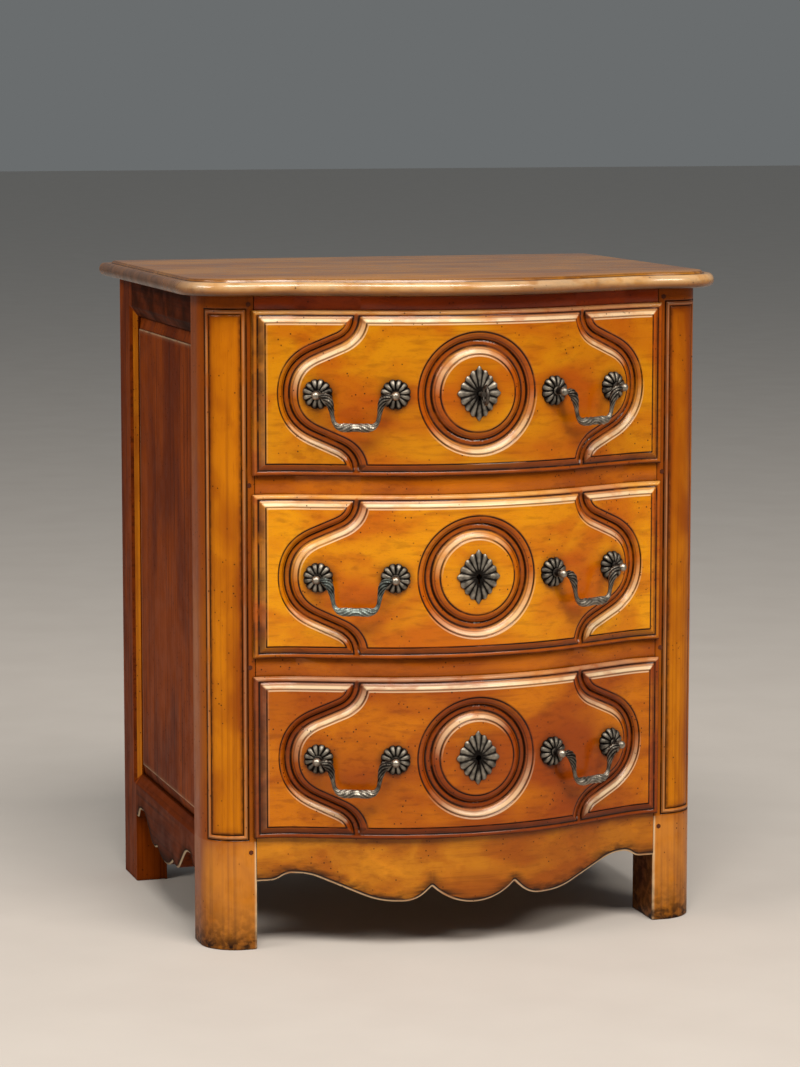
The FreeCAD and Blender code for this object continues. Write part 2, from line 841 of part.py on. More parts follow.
def drawer_pieces():
    """All pieces of the lowest drawer, by name; the others are the same, higher up."""
    pairs = [(-handle_outer, -handle_inner), (handle_inner, handle_outer)]
    places = [x for pair in pairs for x in pair]
    others = [x for pair in pairs for x in reversed(pair)]
    sides = both_sides(drawer_side())
    bottom = drawer_bottom()
    back = drawer_back()
    holes = [post_hole(x) for x in places]
    keyway = keyhole(-bow_sag - cut_overrun, front_inner_face)
    nuts = [nut(x) for x in places]
    return {
        "front": [drawer_front(sides + [keyway] + lock_pocket() + holes)],
        "left_side": [sides[1].cut([bottom, back])],
        "right_side": [sides[0].cut([bottom, back])],
        "back": [back],
        "bottom": [bottom],
        "lock_case": lock_solids(),
        "lock_bolt": [lock_bolt()],
        "escutcheon": [escutcheon()],
        "rosettes": [rosette(x) for x in places],
        "handle_posts": [handle_post(x, other) for x, other in zip(places, others)] + nuts,
        "left_bail": [bail(*pairs[0])],
        "right_bail": [bail(*pairs[1])],
    }


os.makedirs("parts", exist_ok=True)
save("top_board", [top_board()])
for side_name, side_of in (("right", lambda shape: shape), ("left", mirrored)):
    save("front_" + side_name + "_post", [side_of(front_post())])
    save("rear_" + side_name + "_post", [side_of(rear_post())])
    save(side_name + "_side_panel", [side_of(side_panel())])
    save(side_name + "_side_top_rail", [side_of(side_top_rail())])
    save(side_name + "_side_apron", [side_of(side_apron())])
    save(side_name + "_drawer_runners", [side_of(runner(i)) for i in range(len(drawer_names))])
save("front_apron", [front_apron()])
save("lower_drawer_divider", [front_rail("lower_drawer_divider", 0)])
save("upper_drawer_divider", [front_rail("upper_drawer_divider", 1)])
save("front_top_rail", [front_rail("front_top_rail", 2)])
save("back_boards", back_boards())
save("rear_bottom_rail", [rear_rail(rear_rail_low)])
save("rear_top_rail", [rear_rail(carcass_top - rear_rail_height)])
save("top_kickers", both_sides(kicker()))
save("joint_pegs", [peg for name in front_rails for peg in both_sides(pegs[name])])
for piece_name, solids in drawer_pieces().items():
    for drawer_index, drawer_name in enumerate(drawer_names):
        save(drawer_name + "_drawer_" + piece_name, [raised(solid, drawer_index) for solid in solids])
save("drawer_key", [raised(key(), drawer_names.index("top"))])
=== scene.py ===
import math

import bmesh
import bpy
import numpy as np
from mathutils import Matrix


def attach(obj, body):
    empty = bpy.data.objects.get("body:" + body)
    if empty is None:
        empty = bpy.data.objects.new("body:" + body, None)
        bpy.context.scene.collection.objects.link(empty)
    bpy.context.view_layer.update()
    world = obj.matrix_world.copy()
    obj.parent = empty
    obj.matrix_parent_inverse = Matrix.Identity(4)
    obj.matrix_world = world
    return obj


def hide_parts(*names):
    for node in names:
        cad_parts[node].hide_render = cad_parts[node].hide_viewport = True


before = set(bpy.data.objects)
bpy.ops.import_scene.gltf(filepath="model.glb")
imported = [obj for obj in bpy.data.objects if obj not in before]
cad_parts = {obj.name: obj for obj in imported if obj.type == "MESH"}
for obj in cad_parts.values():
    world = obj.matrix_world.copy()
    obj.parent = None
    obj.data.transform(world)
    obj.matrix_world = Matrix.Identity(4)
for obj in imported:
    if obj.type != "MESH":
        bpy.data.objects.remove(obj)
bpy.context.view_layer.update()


# Front posts: one square length of cherry each, from floor to top board, its outer corner worked round.
# A bead between two scratched lines frames the round; old glaze and painted shade darken the lines, dirt
# the foot, and dirt and painted shade the foot's inner face.
# Rails are tenoned into the posts and pinned by pegs.

MM = 0.001
ALONG, DEEP, UPRIGHT = 0, 1, 2
SIDES = (("left", -1), ("right", 1))
FRONT_PLANE = -201.5
POST_INNER, POST_DEPTH, POST_EASED = 283.0, 78.0, 1.3
HALF_WIDTH, CORNER_RADIUS = 350.0, 50.0
CARCASS_TOP = 878.0
BEAD_LEFT, BEAD_RIGHT, BEAD_LOW, BEAD_HIGH = -6.0, 54.0, 150.0, 860.0
BEAD_WIDTH = 7.0
FOOT_DIRT = 42.0
# runs along the front that stand for the post's inner face and for its eased edge
INNER_FACE, FRONT_EDGE = -99.0, -16.0
# the mark "carve" counts mm up a moulding's flank from this value, and the field starts a step above it
CARVE_ZERO, LINE_STEP = 100.0, 9.0


def linear(colour):
    """An sRGB hex colour as the linear one that a shader takes."""
    parts = [int(colour[i:i + 2], 16) / 255 for i in (1, 3, 5)]
    return [p / 12.92 if p <= 0.04045 else ((p + 0.055) / 1.055) ** 2.4 for p in parts] + [1.0]


def feed(tree, node, settings, links):
    """Set a node, by attribute or by socket, and link what feeds it."""
    for key, value in (settings or {}).items():
        if isinstance(key, str) and hasattr(node, key):
            setattr(node, key, value)
        else:
            node.inputs[key].default_value = value
    for key, source in (links or {}).items():
        tree.links.new(source, node.inputs[key])


def add(tree, kind, settings=None, links=None, output=0):
    """One new shader node, set and linked; gives one of its outputs."""
    node = tree.nodes.new("ShaderNode" + kind)
    feed(tree, node, settings, links)
    return node.outputs[output]


def blank(name):
    """A new material: itself, its nodes, its shader, and the place of a point on the piece."""
    material = bpy.data.materials.new(name)
    material.use_nodes = True
    tree = material.node_tree
    return material, tree, tree.nodes["Principled BSDF"], add(tree, "TexCoord", output="Object")


def cherry(name, amber, red, streak, axis, gloss=0.34, coat=0.36, mirror=0.05, wavy=0.3, grain=0.30,
           cloudy=0.75, smear=(46, 38), hollow=14):
    """Waxed old cherry: a honey ground that drifts to red, soft streaks along the grain, fine pores,
    a few worm holes, dark glaze and painted shade in lines and corners, paler wood where hands rubbed it
    through, and painted highlights where a piece marks its surface as facing the light."""
    material, tree, shader, place = blank(name)
    # marks in the wood: length along the grain and width across it, in mm, detail and distortion;
    # real pores are about 0.2 mm wide, drawn 1.2 mm wide so that they show
    kinds = {
        "drift": (240, 90, 3.0, 0.3), "cloud": (70, 42, 4.0, 0.6), "streaks": (420, 6, 4.0, 0.2),
        "pores": (22, 1.2, 2.0, 0.0), "patchy": (30, 22, 3.0, 0.0), "smear": (*smear, 4.0, 0.4),
        "waves": (140, 60, 1.0, 0.0),
    }
    marks = {}
    for kind, (length, width, detail, distortion) in kinds.items():
        scale = [1 / (width * MM)] * 3
        scale[axis] = 1 / (length * MM)
        spot = add(tree, "Mapping", {"Scale": scale}, {"Vector": place})
        settings = {"Scale": 1.0, "Detail": detail, "Distortion": distortion}
        marks[kind] = add(tree, "TexNoise", settings, {"Vector": spot})
    for kind in ("shade", "wear_and_highlight", "carve", "glaze_and_shade", "sky"):
        marks[kind] = add(tree, "Attribute", {"attribute_name": kind}, output="Fac")
    # worm holes and dents, 1 to 2 mm across, gathered where the wood is stained
    marks["holes"] = add(tree, "TexVoronoi", {"Scale": 1 / (8 * MM)}, {"Vector": place})
    # painted shade: ambient occlusion within the reach hollow darkens corners, creases and wood under
    # overhangs
    marks["corner"] = add(tree, "AmbientOcclusion", {"samples": 4, "Distance": hollow * MM}, output="AO")
    # dark lines at the foot, on the flank and at the head of a moulding, part glaze and part painted shade,
    # and a painted highlight on the arris past them where the surface faces the light
    lines = {"valley_line": 0.0, "flank_line": 0.36 * LINE_STEP, "field_line": LINE_STEP}
    lines["arris_line"] = LINE_STEP + 1.9
    for kind, level in lines.items():
        settings = {"operation": "SUBTRACT", 1: CARVE_ZERO + level}
        away = add(tree, "Math", settings, {0: marks["carve"]})
        marks[kind] = add(tree, "Math", {"operation": "ABSOLUTE"}, {0: away})
    # how much of each mark shows: what is read, between which values, and the least and most that it gives
    shows = {
        "red": ("drift", 0.40, 0.66, 0.0, 0.85), "stain": ("cloud", 0.42, 0.70, 0.0, cloudy),
        "streak": ("streaks", 0.46, 0.74, 0.0, grain), "pore": ("pores", 0.55, 0.80, 0.0, 0.28),
        "rub_and_highlight": ("patchy", 0.30, 0.55, 0.45, 1.0), "smeared_glaze_and_shade": ("smear", 0.30, 0.64, 0.50, 1.12),
        "line": ("patchy", 0.30, 0.50, 0.60, 1.0), "valley": ("valley_line", 2.6, 0.4, 0.0, 1.0),
        "field": ("field_line", 1.7, 0.3, 0.0, 1.0), "flank": ("flank_line", 1.2, 0.3, 0.0, 0.55),
        # lines are painted thinner where the surface faces the light; the arris highlight and corner shade
        # are painted light
        "arris_highlight": ("arris_line", 1.3, 0.3, 0.0, 0.55), "thin": ("sky", 0.0, 1.0, 1.0, 0.62),
        "hole": ("holes", 0.18, 0.09, 0.0, 0.85), "cluster": ("cloud", 0.48, 0.56, 0.0, 1.0),
        "corner": ("corner", 0.72, 0.28, 0.0, 0.88),
        "rough": ("patchy", 0.30, 0.70, gloss - 0.05, gloss + 0.07),
    }
    share = {kind: marks[kind] for kind in ("shade", "wear_and_highlight", "glaze_and_shade", "sky")}
    for key, (kind, low, high, least, most) in shows.items():
        settings = {"From Min": low, "From Max": high, "To Min": least, "To Max": most}
        settings["interpolation_type"] = "SMOOTHSTEP"
        share[key] = add(tree, "MapRange", settings, {"Value": marks[kind]})
    # two marks made one, in the order in which they are used
    joined = (
        ("red", "ADD", "red", "shade"), ("rub_and_highlight", "MULTIPLY", "wear_and_highlight", "rub_and_highlight"),
        ("smeared_glaze_and_shade", "MULTIPLY", "glaze_and_shade", "smeared_glaze_and_shade"), ("arris_highlight", "MULTIPLY", "arris_highlight", "sky"),
        ("rub_and_highlight", "MAXIMUM", "rub_and_highlight", "arris_highlight"), ("hole", "MULTIPLY", "hole", "cluster"),
        ("lines", "MAXIMUM", "valley", "field"), ("lines", "MAXIMUM", "lines", "flank"),
        ("line", "MULTIPLY", "line", "lines"), ("line", "MULTIPLY", "line", "thin"),
        ("darkening", "MAXIMUM", "smeared_glaze_and_shade", "line"), ("darkening", "MAXIMUM", "darkening", "hole"),
        ("darkening", "MAXIMUM", "darkening", "corner"),
    )
    for key, operation, first, second in joined:
        settings = {"operation": operation, "use_clamp": True}
        share[key] = add(tree, "Math", settings, {0: share[first], 1: share[second]})
    # the pale tone paints rubbed wear and highlights, the dark one glaze, dirt, holes and painted shade
    settings = {"data_type": "RGBA", 6: linear(amber), 7: linear(red)}
    colour = add(tree, "Mix", settings, {0: share["red"]}, 2)
    layers = (("stain", red), ("streak", streak), ("pore", streak), ("rub_and_highlight", "#E2D2AE"), ("darkening", "#1A0902"))
    for key, tone in layers:
        settings = {"data_type": "RGBA", 7: linear(tone)}
        colour = add(tree, "Mix", settings, {0: share[key], 6: colour}, 2)
    settings = {"operation": "MULTIPLY_ADD", 1: 0.22}
    dull = add(tree, "Math", settings, {0: share["darkening"], 2: share["rough"]})
    # the plane's and scraper's marks lie as waves of some 70 mm, the pores as fine scores
    waves = add(tree, "Bump", {"Strength": wavy, "Distance": 0.5 * MM}, {"Height": marks["waves"]})
    settings = {"Strength": 0.16, "Distance": 0.25 * MM}
    scores = add(tree, "Bump", settings, {"Height": marks["pores"], "Normal": waves})
    settings = {"IOR": 1.48, "Specular IOR Level": mirror, "Coat Weight": coat, "Coat Roughness": 0.17}
    feed(tree, shader, settings, {"Base Color": colour, "Roughness": dull, "Normal": scores})
    return material


def piece(name, shape, material, node, crease=38, body="carcass", middle=0.0):
    """A mesh from points in mm from the front plane, faces and marks, on a body, in place of a CAD node."""
    points, faces, marks = shape
    mesh = bpy.data.meshes.new(name)
    places = (np.asarray(points, float).reshape(-1, 3) + [0, FRONT_PLANE, middle]) * MM
    mesh.from_pydata(places.tolist(), [], faces)
    for mark, values in marks.items():
        layer = mesh.attributes.new(mark, "FLOAT", "POINT")
        layer.data.foreach_set("value", np.asarray(values, np.float32).ravel())
    shell = bmesh.new()
    shell.from_mesh(mesh)
    bmesh.ops.recalc_face_normals(shell, faces=shell.faces)
    shell.to_mesh(mesh)
    shell.free()
    if crease:
        mesh.shade_smooth()
        mesh.set_sharp_from_angle(angle=math.radians(crease))
    mesh.materials.append(material)
    made = bpy.data.objects.new(name, mesh)
    bpy.context.scene.collection.objects.link(made)
    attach(made, body)
    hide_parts(node)
    return made


def fade(away, width):
    """1 at no distance, falling off smoothly over a width."""
    return np.exp(-(away / width) ** 2)


def net(rows, columns, around=False, start=0):
    """Faces between the points of a net, row after row; around closes each row on itself."""
    index = np.arange(rows * columns).reshape(rows, columns) + start
    if around:
        index = np.hstack([index, index[:, :1]])
    corners = [index[:-1, :-1], index[:-1, 1:], index[1:, 1:], index[1:, :-1]]
    return np.stack(corners, -1).reshape(-1, 4).tolist()


def capped(rows, columns, start=0):
    """Faces of a net closed around, with its first and last rows filled."""
    last = start + (rows - 1) * columns
    ends = [list(range(start, start + columns)), list(range(last, last + columns))]
    return net(rows, columns, True, start) + ends


def post_section():
    """The post's outline from its inner back corner round the front: place, outward way and run."""
    inward, askew = (-1, 0), (-1, -1)
    section = [((POST_INNER, POST_DEPTH), inward, INNER_FACE), ((POST_INNER, 4.0), inward, INNER_FACE),
               ((POST_INNER, POST_EASED), askew, INNER_FACE),
               ((POST_INNER + POST_EASED, 0.0), askew, FRONT_EDGE)]
    # close together where the bead runs
    runs = [np.arange(-13, -8, 2.5), np.arange(-8, 7, 1.0), np.arange(7, 42, 3.5), np.arange(42, 58, 1.0),
            np.arange(58, 79, 4)]
    for run in np.concatenate(runs):
        turn = max(run, 0) / CORNER_RADIUS
        x = HALF_WIDTH - CORNER_RADIUS + min(run, 0) + CORNER_RADIUS * math.sin(turn)
        section.append(((x, CORNER_RADIUS * (1 - math.cos(turn))), (math.sin(turn), -math.cos(turn)), run))
    section += [((HALF_WIDTH, CORNER_RADIUS + 4), (1, 0), 83.0), ((HALF_WIDTH, POST_DEPTH), (1, 0), 106.0)]
    return section


def front_post(side):
    """Net of a post with its bead, and where it is dirty, painted shaded, rubbed and red."""
    places, outward, run = (np.array(column, float) for column in zip(*post_section()))
    z = np.concatenate([[0, 1.2, 12, 30, 60, 100, 135], np.arange(146, 163, 1.0), np.arange(170, 846, 12),
                        np.arange(848, 866, 1.0), [872, CARCASS_TOP]])[:, None]
    across = np.minimum(run - BEAD_LEFT, BEAD_RIGHT - run)
    inside = np.minimum(across, np.minimum(z - BEAD_LOW, BEAD_HIGH - z))
    bead_run = [-1.2, 0, 1.4, 3.5, 5.6, BEAD_WIDTH, 8.6, 12]
    bead_rise = [0, -1.4, 0.1, 0.7, 0.1, -1.7, -0.4, 0]
    lift = np.interp(inside, bead_run, bead_rise) + np.where(z < 1.0, -1.0, 0.0)
    flat = places + outward * lift[..., None]
    points = np.dstack([side * flat[..., 0], flat[..., 1], np.broadcast_to(z, lift.shape)])
    on_foot = z < BEAD_LOW - 2
    eased = places[:, 1] < 2
    # the bead's two lines are darkened: glaze and painted shade
    line_glaze_and_shade = 0.62 * fade(inside - 8.2, 2.6) * (inside > 6) + 0.35 * fade(inside, 2.0)
    darkening = 0.60 * np.clip(1 - z / FOOT_DIRT, 0, 1) + 0.38 * np.clip(1 - z / (2.6 * FOOT_DIRT), 0, 1)
    glaze_and_shade = np.maximum(line_glaze_and_shade, np.where(on_foot, darkening, 0.0))
    # the foot's inner face is darkened: dirt and painted shade
    glaze_and_shade = np.maximum(glaze_and_shade, np.where((run == INNER_FACE) & ~eased & (z < BEAD_LOW + 8), 0.72, 0.0))
    edge = (run == FRONT_EDGE) | ((run == INNER_FACE) & eased)
    wear_and_highlight = np.where(on_foot, np.where(edge, 0.6, 0.045), 0.0) + 0.14 * fade(inside - 3.5, 1.6)
    foot = np.where(run == INNER_FACE, 0.2, np.interp(run, [50, 80], [-0.5, 0.5]))
    blend = np.interp(z, [BEAD_LOW - 25, BEAD_LOW - 2], [0, 1])
    framed = np.interp(inside, [-1.5, 0.5, 9, 16], [0.75, 0.40, 0.40, 0.0])
    shade = np.where(z > BEAD_LOW - 1, framed, foot + (0.5 - foot) * blend)
    shade = shade + np.interp(z, [450, 800], [0.0, 0.25])
    carve = CARVE_ZERO + np.clip(inside, -20, 20) * LINE_STEP / BEAD_WIDTH
    return points, capped(*lift.shape), {"carve": carve, "glaze_and_shade": glaze_and_shade, "wear_and_highlight": wear_and_highlight, "shade": shade}


# cherry that light has turned honey brown, wiped with glaze in small smears
post_cherry = cherry("waxed_cherry_upright", "#B46A04", "#823C02", "#5E2802", UPRIGHT, coat=0.16, grain=0.42,
                     cloudy=0.45, smear=(9, 12))
for hand, side in SIDES:
    piece(f"beaded_{hand}_post", front_post(side), post_cherry, f"front_{hand}_post")


# Side frames: rear posts, rails and a scalloped lower rail round a raised panel, in dark, red cherry. A
# mitred bevel runs round the opening; on the rear post its strip by the opening is golden, amber wood with a
# painted highlight. The upper rail is darkened all over as painted shadow of the top board's overhang. The
# panels float in grooves, their raised field cut clean at its edge; painted shade darkens the panel's rim and
# the field's foot, and the field's arris is rubbed pale, with a painted highlight.

SIDE_INNER, REAR_INNER = 326.0, 305.0
REAR_FRONT, CARCASS_DEPTH = 442.0, 520.0
PANEL_LOW, PANEL_HIGH = 158.0, 824.0
PANEL_TONGUE, PANEL_SUNK = 8.0, 14.0
MOULD_DEEP, MOULD_WIDE, MOULD_GOLDEN_SHARE = 9.0, 14.0, 0.6
FRAME_EASED = 0.8
# dull, dark cherry with little wax left, its grain upright or from front to back
dull_wax = {"gloss": 0.48, "coat": 0.03, "mirror": 0.02, "wavy": 0.1, "cloudy": 0.35}
side_cherry = cherry("dark_cherry_upright", "#7E3604", "#582004", "#341004", UPRIGHT, grain=0.75, **dull_wax)
side_rail_cherry = cherry("dark_cherry_level", "#6A2A04", "#481804", "#2A0C02", DEEP, grain=0.65, **dull_wax)


def ease(shape, width):
    """A shape's sharp edges broken by this much."""
    joined = shape.modifiers.new("joined_faces", "WELD")
    joined.merge_threshold = 0.01 * MM
    bevel = shape.modifiers.new("eased_edges", "BEVEL")
    bevel.width = width * MM
    bevel.segments = 2
    bevel.limit_method = "ANGLE"
    bevel.angle_limit = math.radians(30)


def dress(names, material, eased=0.0):
    """CAD pieces keep their shape and take a finish, with eased edges."""
    for name in names:
        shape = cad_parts[name]
        shape.data.materials.clear()
        shape.data.materials.append(material)
        if eased:
            ease(shape, eased)


def rear_post(side):
    """A square post whose front outer edge is bevelled along the panel, with the bevel's mitred ends."""
    low, high = PANEL_LOW - MOULD_WIDE, PANEL_HIGH + MOULD_WIDE
    turn, sunk = REAR_FRONT + MOULD_WIDE, HALF_WIDTH - MOULD_DEEP
    front = [(REAR_INNER, 0), (HALF_WIDTH, 0), (HALF_WIDTH, low), (sunk, PANEL_LOW), (sunk, PANEL_HIGH),
             (HALF_WIDTH, high), (HALF_WIDTH, CARCASS_TOP), (REAR_INNER, CARCASS_TOP)]
    points = [(side * x, REAR_FRONT, z) for x, z in front]
    points += [(side * HALF_WIDTH, turn, low), (side * HALF_WIDTH, turn, high)]
    points += [(side * x, CARCASS_DEPTH, z) for x, z in (front[0], front[1], front[6], front[7])]
    # a line along the bevel parts its darker outer strip from the golden one, amber wood with a painted
    # highlight
    part = MOULD_GOLDEN_SHARE * MOULD_WIDE
    points += [(side * (sunk + MOULD_GOLDEN_SHARE * MOULD_DEEP), REAR_FRONT + part, z)
               for z in (PANEL_LOW - part, PANEL_HIGH + part)]
    # the golden strip with its painted highlight, the darker strip, and then the other faces
    faces = [[3, 4, 15, 14], [14, 15, 9, 8], list(range(8)), [2, 8, 14, 3], [4, 15, 9, 5],
             [1, 11, 12, 6, 5, 9, 8, 2], [10, 11, 12, 13], [0, 10, 13, 7], [0, 1, 11, 10], [6, 12, 13, 7]]
    return points, faces, {}


def side_rail(side):
    """The upper side rail, bevelled along its lower outer edge."""
    outline = [(SIDE_INNER, PANEL_HIGH), (HALF_WIDTH - MOULD_DEEP, PANEL_HIGH),
               (HALF_WIDTH, PANEL_HIGH + MOULD_WIDE), (HALF_WIDTH, CARCASS_TOP), (SIDE_INNER, CARCASS_TOP)]
    points = [(side * x, y, z) for y in (POST_DEPTH, REAR_FRONT) for x, z in outline]
    # painted shadow of the top board's overhang darkens the whole rail
    return points, capped(2, len(outline)), {"glaze_and_shade": np.full(len(points), 0.72)}


def side_panel(side):
    """Rings of the panel from its back to its field: inset from the opening, rise, pale wear with a painted
    highlight, and glaze with painted shade.
    """
    # painted shade darkens the panel's rim and the foot of its field; its arris is rubbed pale, with a
    # painted highlight
    rings = [(-PANEL_TONGUE, -PANEL_TONGUE, 0, 0), (-PANEL_TONGUE, 0, 0, 0.9), (0, 0, 0, 0.9),
             (2.5, 0.8, 0, 0.25), (9, 2.9, 0, 0), (16, 5.2, 0, 0.05), (17, 5.4, 0, 0.75),
             (17.6, 6.7, 0.36, 0.1), (18.6, 7, 0.26, 0), (20, 7, 0.05, 0), (24, 7, 0, 0)]
    points = []
    for inset, rise, _, _ in rings:
        x = side * (HALF_WIDTH - PANEL_SUNK + rise)
        near, far = POST_DEPTH + inset, REAR_FRONT - inset
        low, high = PANEL_LOW + inset, PANEL_HIGH - inset
        points += [(x, near, low), (x, far, low), (x, far, high), (x, near, high)]
    _, _, wear_and_highlight, glaze_and_shade = np.repeat(rings, 4, 0).T
    return points, capped(len(rings), 4), {"wear_and_highlight": wear_and_highlight, "glaze_and_shade": glaze_and_shade}


for hand, side in SIDES:
    post = piece(f"bevelled_rear_{hand}_post", rear_post(side), side_cherry, f"rear_{hand}_post", 0)
    for strip, material in enumerate((post_cherry, side_rail_cherry)):
        post.data.materials.append(material)
        post.data.polygons[strip].material_index = strip + 1
    ease(post, FRAME_EASED)
    rail = piece(f"bevelled_{hand}_side_rail", side_rail(side), side_rail_cherry,
                 f"{hand}_side_top_rail", 0)
    ease(rail, FRAME_EASED)
    piece(f"raised_{hand}_side_panel", side_panel(side), side_cherry, f"{hand}_side_panel", 0)


# Rails: the bowed front apron and the straight side ones with scalloped edges, two dividers and the top rail,
# sawn from thick cherry, tenoned into the posts and pinned by dark pegs. The scalloped edges have a thin
# bevel, rubbed pale, under smoky glaze.

BOW_SAG, BOW_MIDDLE_RADIUS, BOW_END_RADIUS = 72.0, 399.97, 139.07
BOW_TURN = math.radians(22.0)
BOW_INNER = BOW_MIDDLE_RADIUS * math.sin(BOW_TURN)
BOW_OUTER = POST_INNER - BOW_END_RADIUS * math.sin(BOW_TURN)
APRON_TOP, APRON_HEIGHT, APRON_THICKNESS, APRON_EASED = 156.5, 94.2, 25.0, 0.8
# corners of each scallop's half, as shares of the half length and the height, and how far each is rounded
SCROLL_SHARES = [(0.205, 0.743), (0.283, 0.961), (0.452, 0.955), (0.76, 0.568), (0.859, 0.568),
                 (0.912, 0.674), (1.0, 0.674)]
ROUND_SHARES = [0.6, 0.45, 0.5, 0.45, 0.45]
SIDE_APRON_HEIGHT, SIDE_APRON_THICKNESS = 92.0, 24.0
SIDE_SCROLL_SHARES = [(0.264, 0.853), (0.41, 0.945), (0.70, 0.50), (0.88, 0.50), (0.945, 0.665), (1.0, 0.665)]
SIDE_ROUND_SHARES = [0.7, 0.45, 0.45, 0.45]
SCALLOP_BEVEL_HIGH, SCALLOP_BEVEL_DEEP = 2.4, 1.7


def bow(x):
    """How far the front stands out at x: round middle, straight run, hollow end."""
    reach = np.abs(np.asarray(x, float))
    middle = BOW_SAG - BOW_MIDDLE_RADIUS + np.sqrt(np.maximum(BOW_MIDDLE_RADIUS ** 2 - reach ** 2, 0))
    hollow = BOW_END_RADIUS - np.sqrt(np.maximum(BOW_END_RADIUS ** 2 - (POST_INNER - reach) ** 2, 0))
    start = BOW_END_RADIUS * (1 - math.cos(BOW_TURN))
    straight = start + (BOW_OUTER - reach) * math.tan(BOW_TURN)
    zones = [reach < BOW_INNER, reach < BOW_OUTER, reach < POST_INNER]
    return np.select(zones, [middle, straight, hollow], 0.0)


def rounded(corners, shares, steps=10):
    """A line of straight runs whose corners are rounded off over a share of the shorter run."""
    corners = np.asarray(corners, float)
    line = [corners[:1]]
    for i in range(1, len(corners) - 1):
        before, after = corners[i - 1] - corners[i], corners[i + 1] - corners[i]
        run = shares[i - 1] * min(np.linalg.norm(before), np.linalg.norm(after))
        near = corners[i] + before / np.linalg.norm(before) * run
        far = corners[i] + after / np.linalg.norm(after) * run
        t = np.linspace(0, 1, steps)[:, None]
        line.append((1 - t) ** 2 * near + 2 * t * (1 - t) * corners[i] + t ** 2 * far)
    return np.concatenate(line + [corners[-1:]])


def scroll_edge(along, shares, rounds, half_length, top, height):
    """Height of a scalloped edge: a lobe between two cusps, and a scroll out to each end."""
    half = rounded([(a * half_length, top - d * height) for a, d in shares], rounds)
    cusp, cusp_height = half[0]
    sag = cusp_height - (top - height)
    radius = (cusp ** 2 + sag ** 2) / (2 * sag)
    reach = np.abs(along)
    lobe = top - height + radius - np.sqrt(np.maximum(radius ** 2 - reach ** 2, 0))
    return np.where(reach < cusp, lobe, np.interp(reach, half[:, 0], half[:, 1]))


def scalloped(along, low, top, thickness, slope_deep, slope_high):
    """Loops of a scalloped board, each a row along it: depth behind its face, height, and its marks."""
    lean = np.cos(np.arctan(np.gradient(low, along)))
    bevel_high = SCALLOP_BEVEL_HIGH / lean
    face_low = low + bevel_high
    face = top - slope_high - face_low
    far = 99.0
    loop = [(SCALLOP_BEVEL_DEEP, low, -bevel_high)]
    for rise in (0.0, 0.8, 1.6, 2.6, 4.0, 6.0, 9.0, 14.0, 20.0, 28.0):
        rise = np.minimum(rise, 0.85 * face)
        loop.append((0.0, face_low + rise, rise * lean))
    loop += [(0.0, face_low + face * share, far) for share in (0.94, 1.0)]
    loop += [(slope_deep, top, far), (thickness, top, far), (thickness, low, -bevel_high),
             (SCALLOP_BEVEL_DEEP + 0.8, low, -bevel_high)]
    spread = ([np.broadcast_to(row, along.shape) for row in rows] for rows in zip(*loop))
    depth, height, away = (np.stack(rows, 1) for rows in spread)
    carve = CARVE_ZERO + np.clip(away - 1.0, -20, 4)
    glaze_and_shade = np.where(away > 0, 0.95 * np.exp(-(np.maximum(away, 0) / 13.0) ** 1.2), 0.0)
    wear_and_highlight = np.where((away <= 0) & (depth <= SCALLOP_BEVEL_DEEP), 0.55, 0.0)
    return depth, height, capped(len(along), len(loop)), {"carve": carve, "glaze_and_shade": glaze_and_shade, "wear_and_highlight": wear_and_highlight}


# honey cherry for the dividers, a redder board for the top rail, a paler one for the apron, dark end grain
rail_cherry = cherry("honey_cherry_divider", "#AE5E04", "#8A4003", "#5A2602", ALONG)
# its 36 mm occlusion reach paints the shadow under the top board's overhang
top_rail_cherry = cherry("red_cherry_rail", "#AA4208", "#842C05", "#561A03", ALONG, gloss=0.36, hollow=36)
apron_cherry = cherry("honey_cherry_apron", "#CA7E14", "#9C4E08", "#6A3006", ALONG, smear=(80, 7))
peg_cherry = cherry("dark_peg_end", "#56270C", "#421B08", "#281004", DEEP, gloss=0.45)
x = np.linspace(-POST_INNER, POST_INNER, 379)
low = scroll_edge(x, SCROLL_SHARES, ROUND_SHARES, POST_INNER, APRON_TOP, APRON_HEIGHT)
depth, height, faces, marks = scalloped(x, low, APRON_TOP, APRON_THICKNESS, APRON_EASED, APRON_EASED)
points = np.dstack([np.broadcast_to(x[:, None], depth.shape), depth - bow(x)[:, None], height])
marks["shade"] = np.interp(points[..., 0], [-200, 250], [-0.25, 0.45])
piece("scalloped_front_apron", (points, faces, marks), apron_cherry, "front_apron")
half = (REAR_FRONT - POST_DEPTH) / 2
along = np.linspace(-half, half, 253)
low = scroll_edge(along, SIDE_SCROLL_SHARES, SIDE_ROUND_SHARES, half, PANEL_LOW, SIDE_APRON_HEIGHT)
depth, height, faces, marks = scalloped(along, low, PANEL_LOW, SIDE_APRON_THICKNESS, MOULD_DEEP, MOULD_WIDE)
middle = np.broadcast_to(along[:, None] + POST_DEPTH + half, depth.shape)
for hand, side in SIDES:
    shape = (np.dstack([side * (HALF_WIDTH - depth), middle, height]), faces, marks)
    piece(f"scalloped_{hand}_side_apron", shape, side_rail_cherry, f"{hand}_side_apron", 30)
dress(["lower_drawer_divider", "upper_drawer_divider"], rail_cherry, FRAME_EASED)
dress(["front_top_rail"], top_rail_cherry, FRAME_EASED)
dress(["joint_pegs"], peg_cherry)


# Back, runners and kickers: plain boards of the inner timber, planed and left bare, nailed or let in where
# no one looks. The back's boards stand upright, the runners and kickers go from front to back.


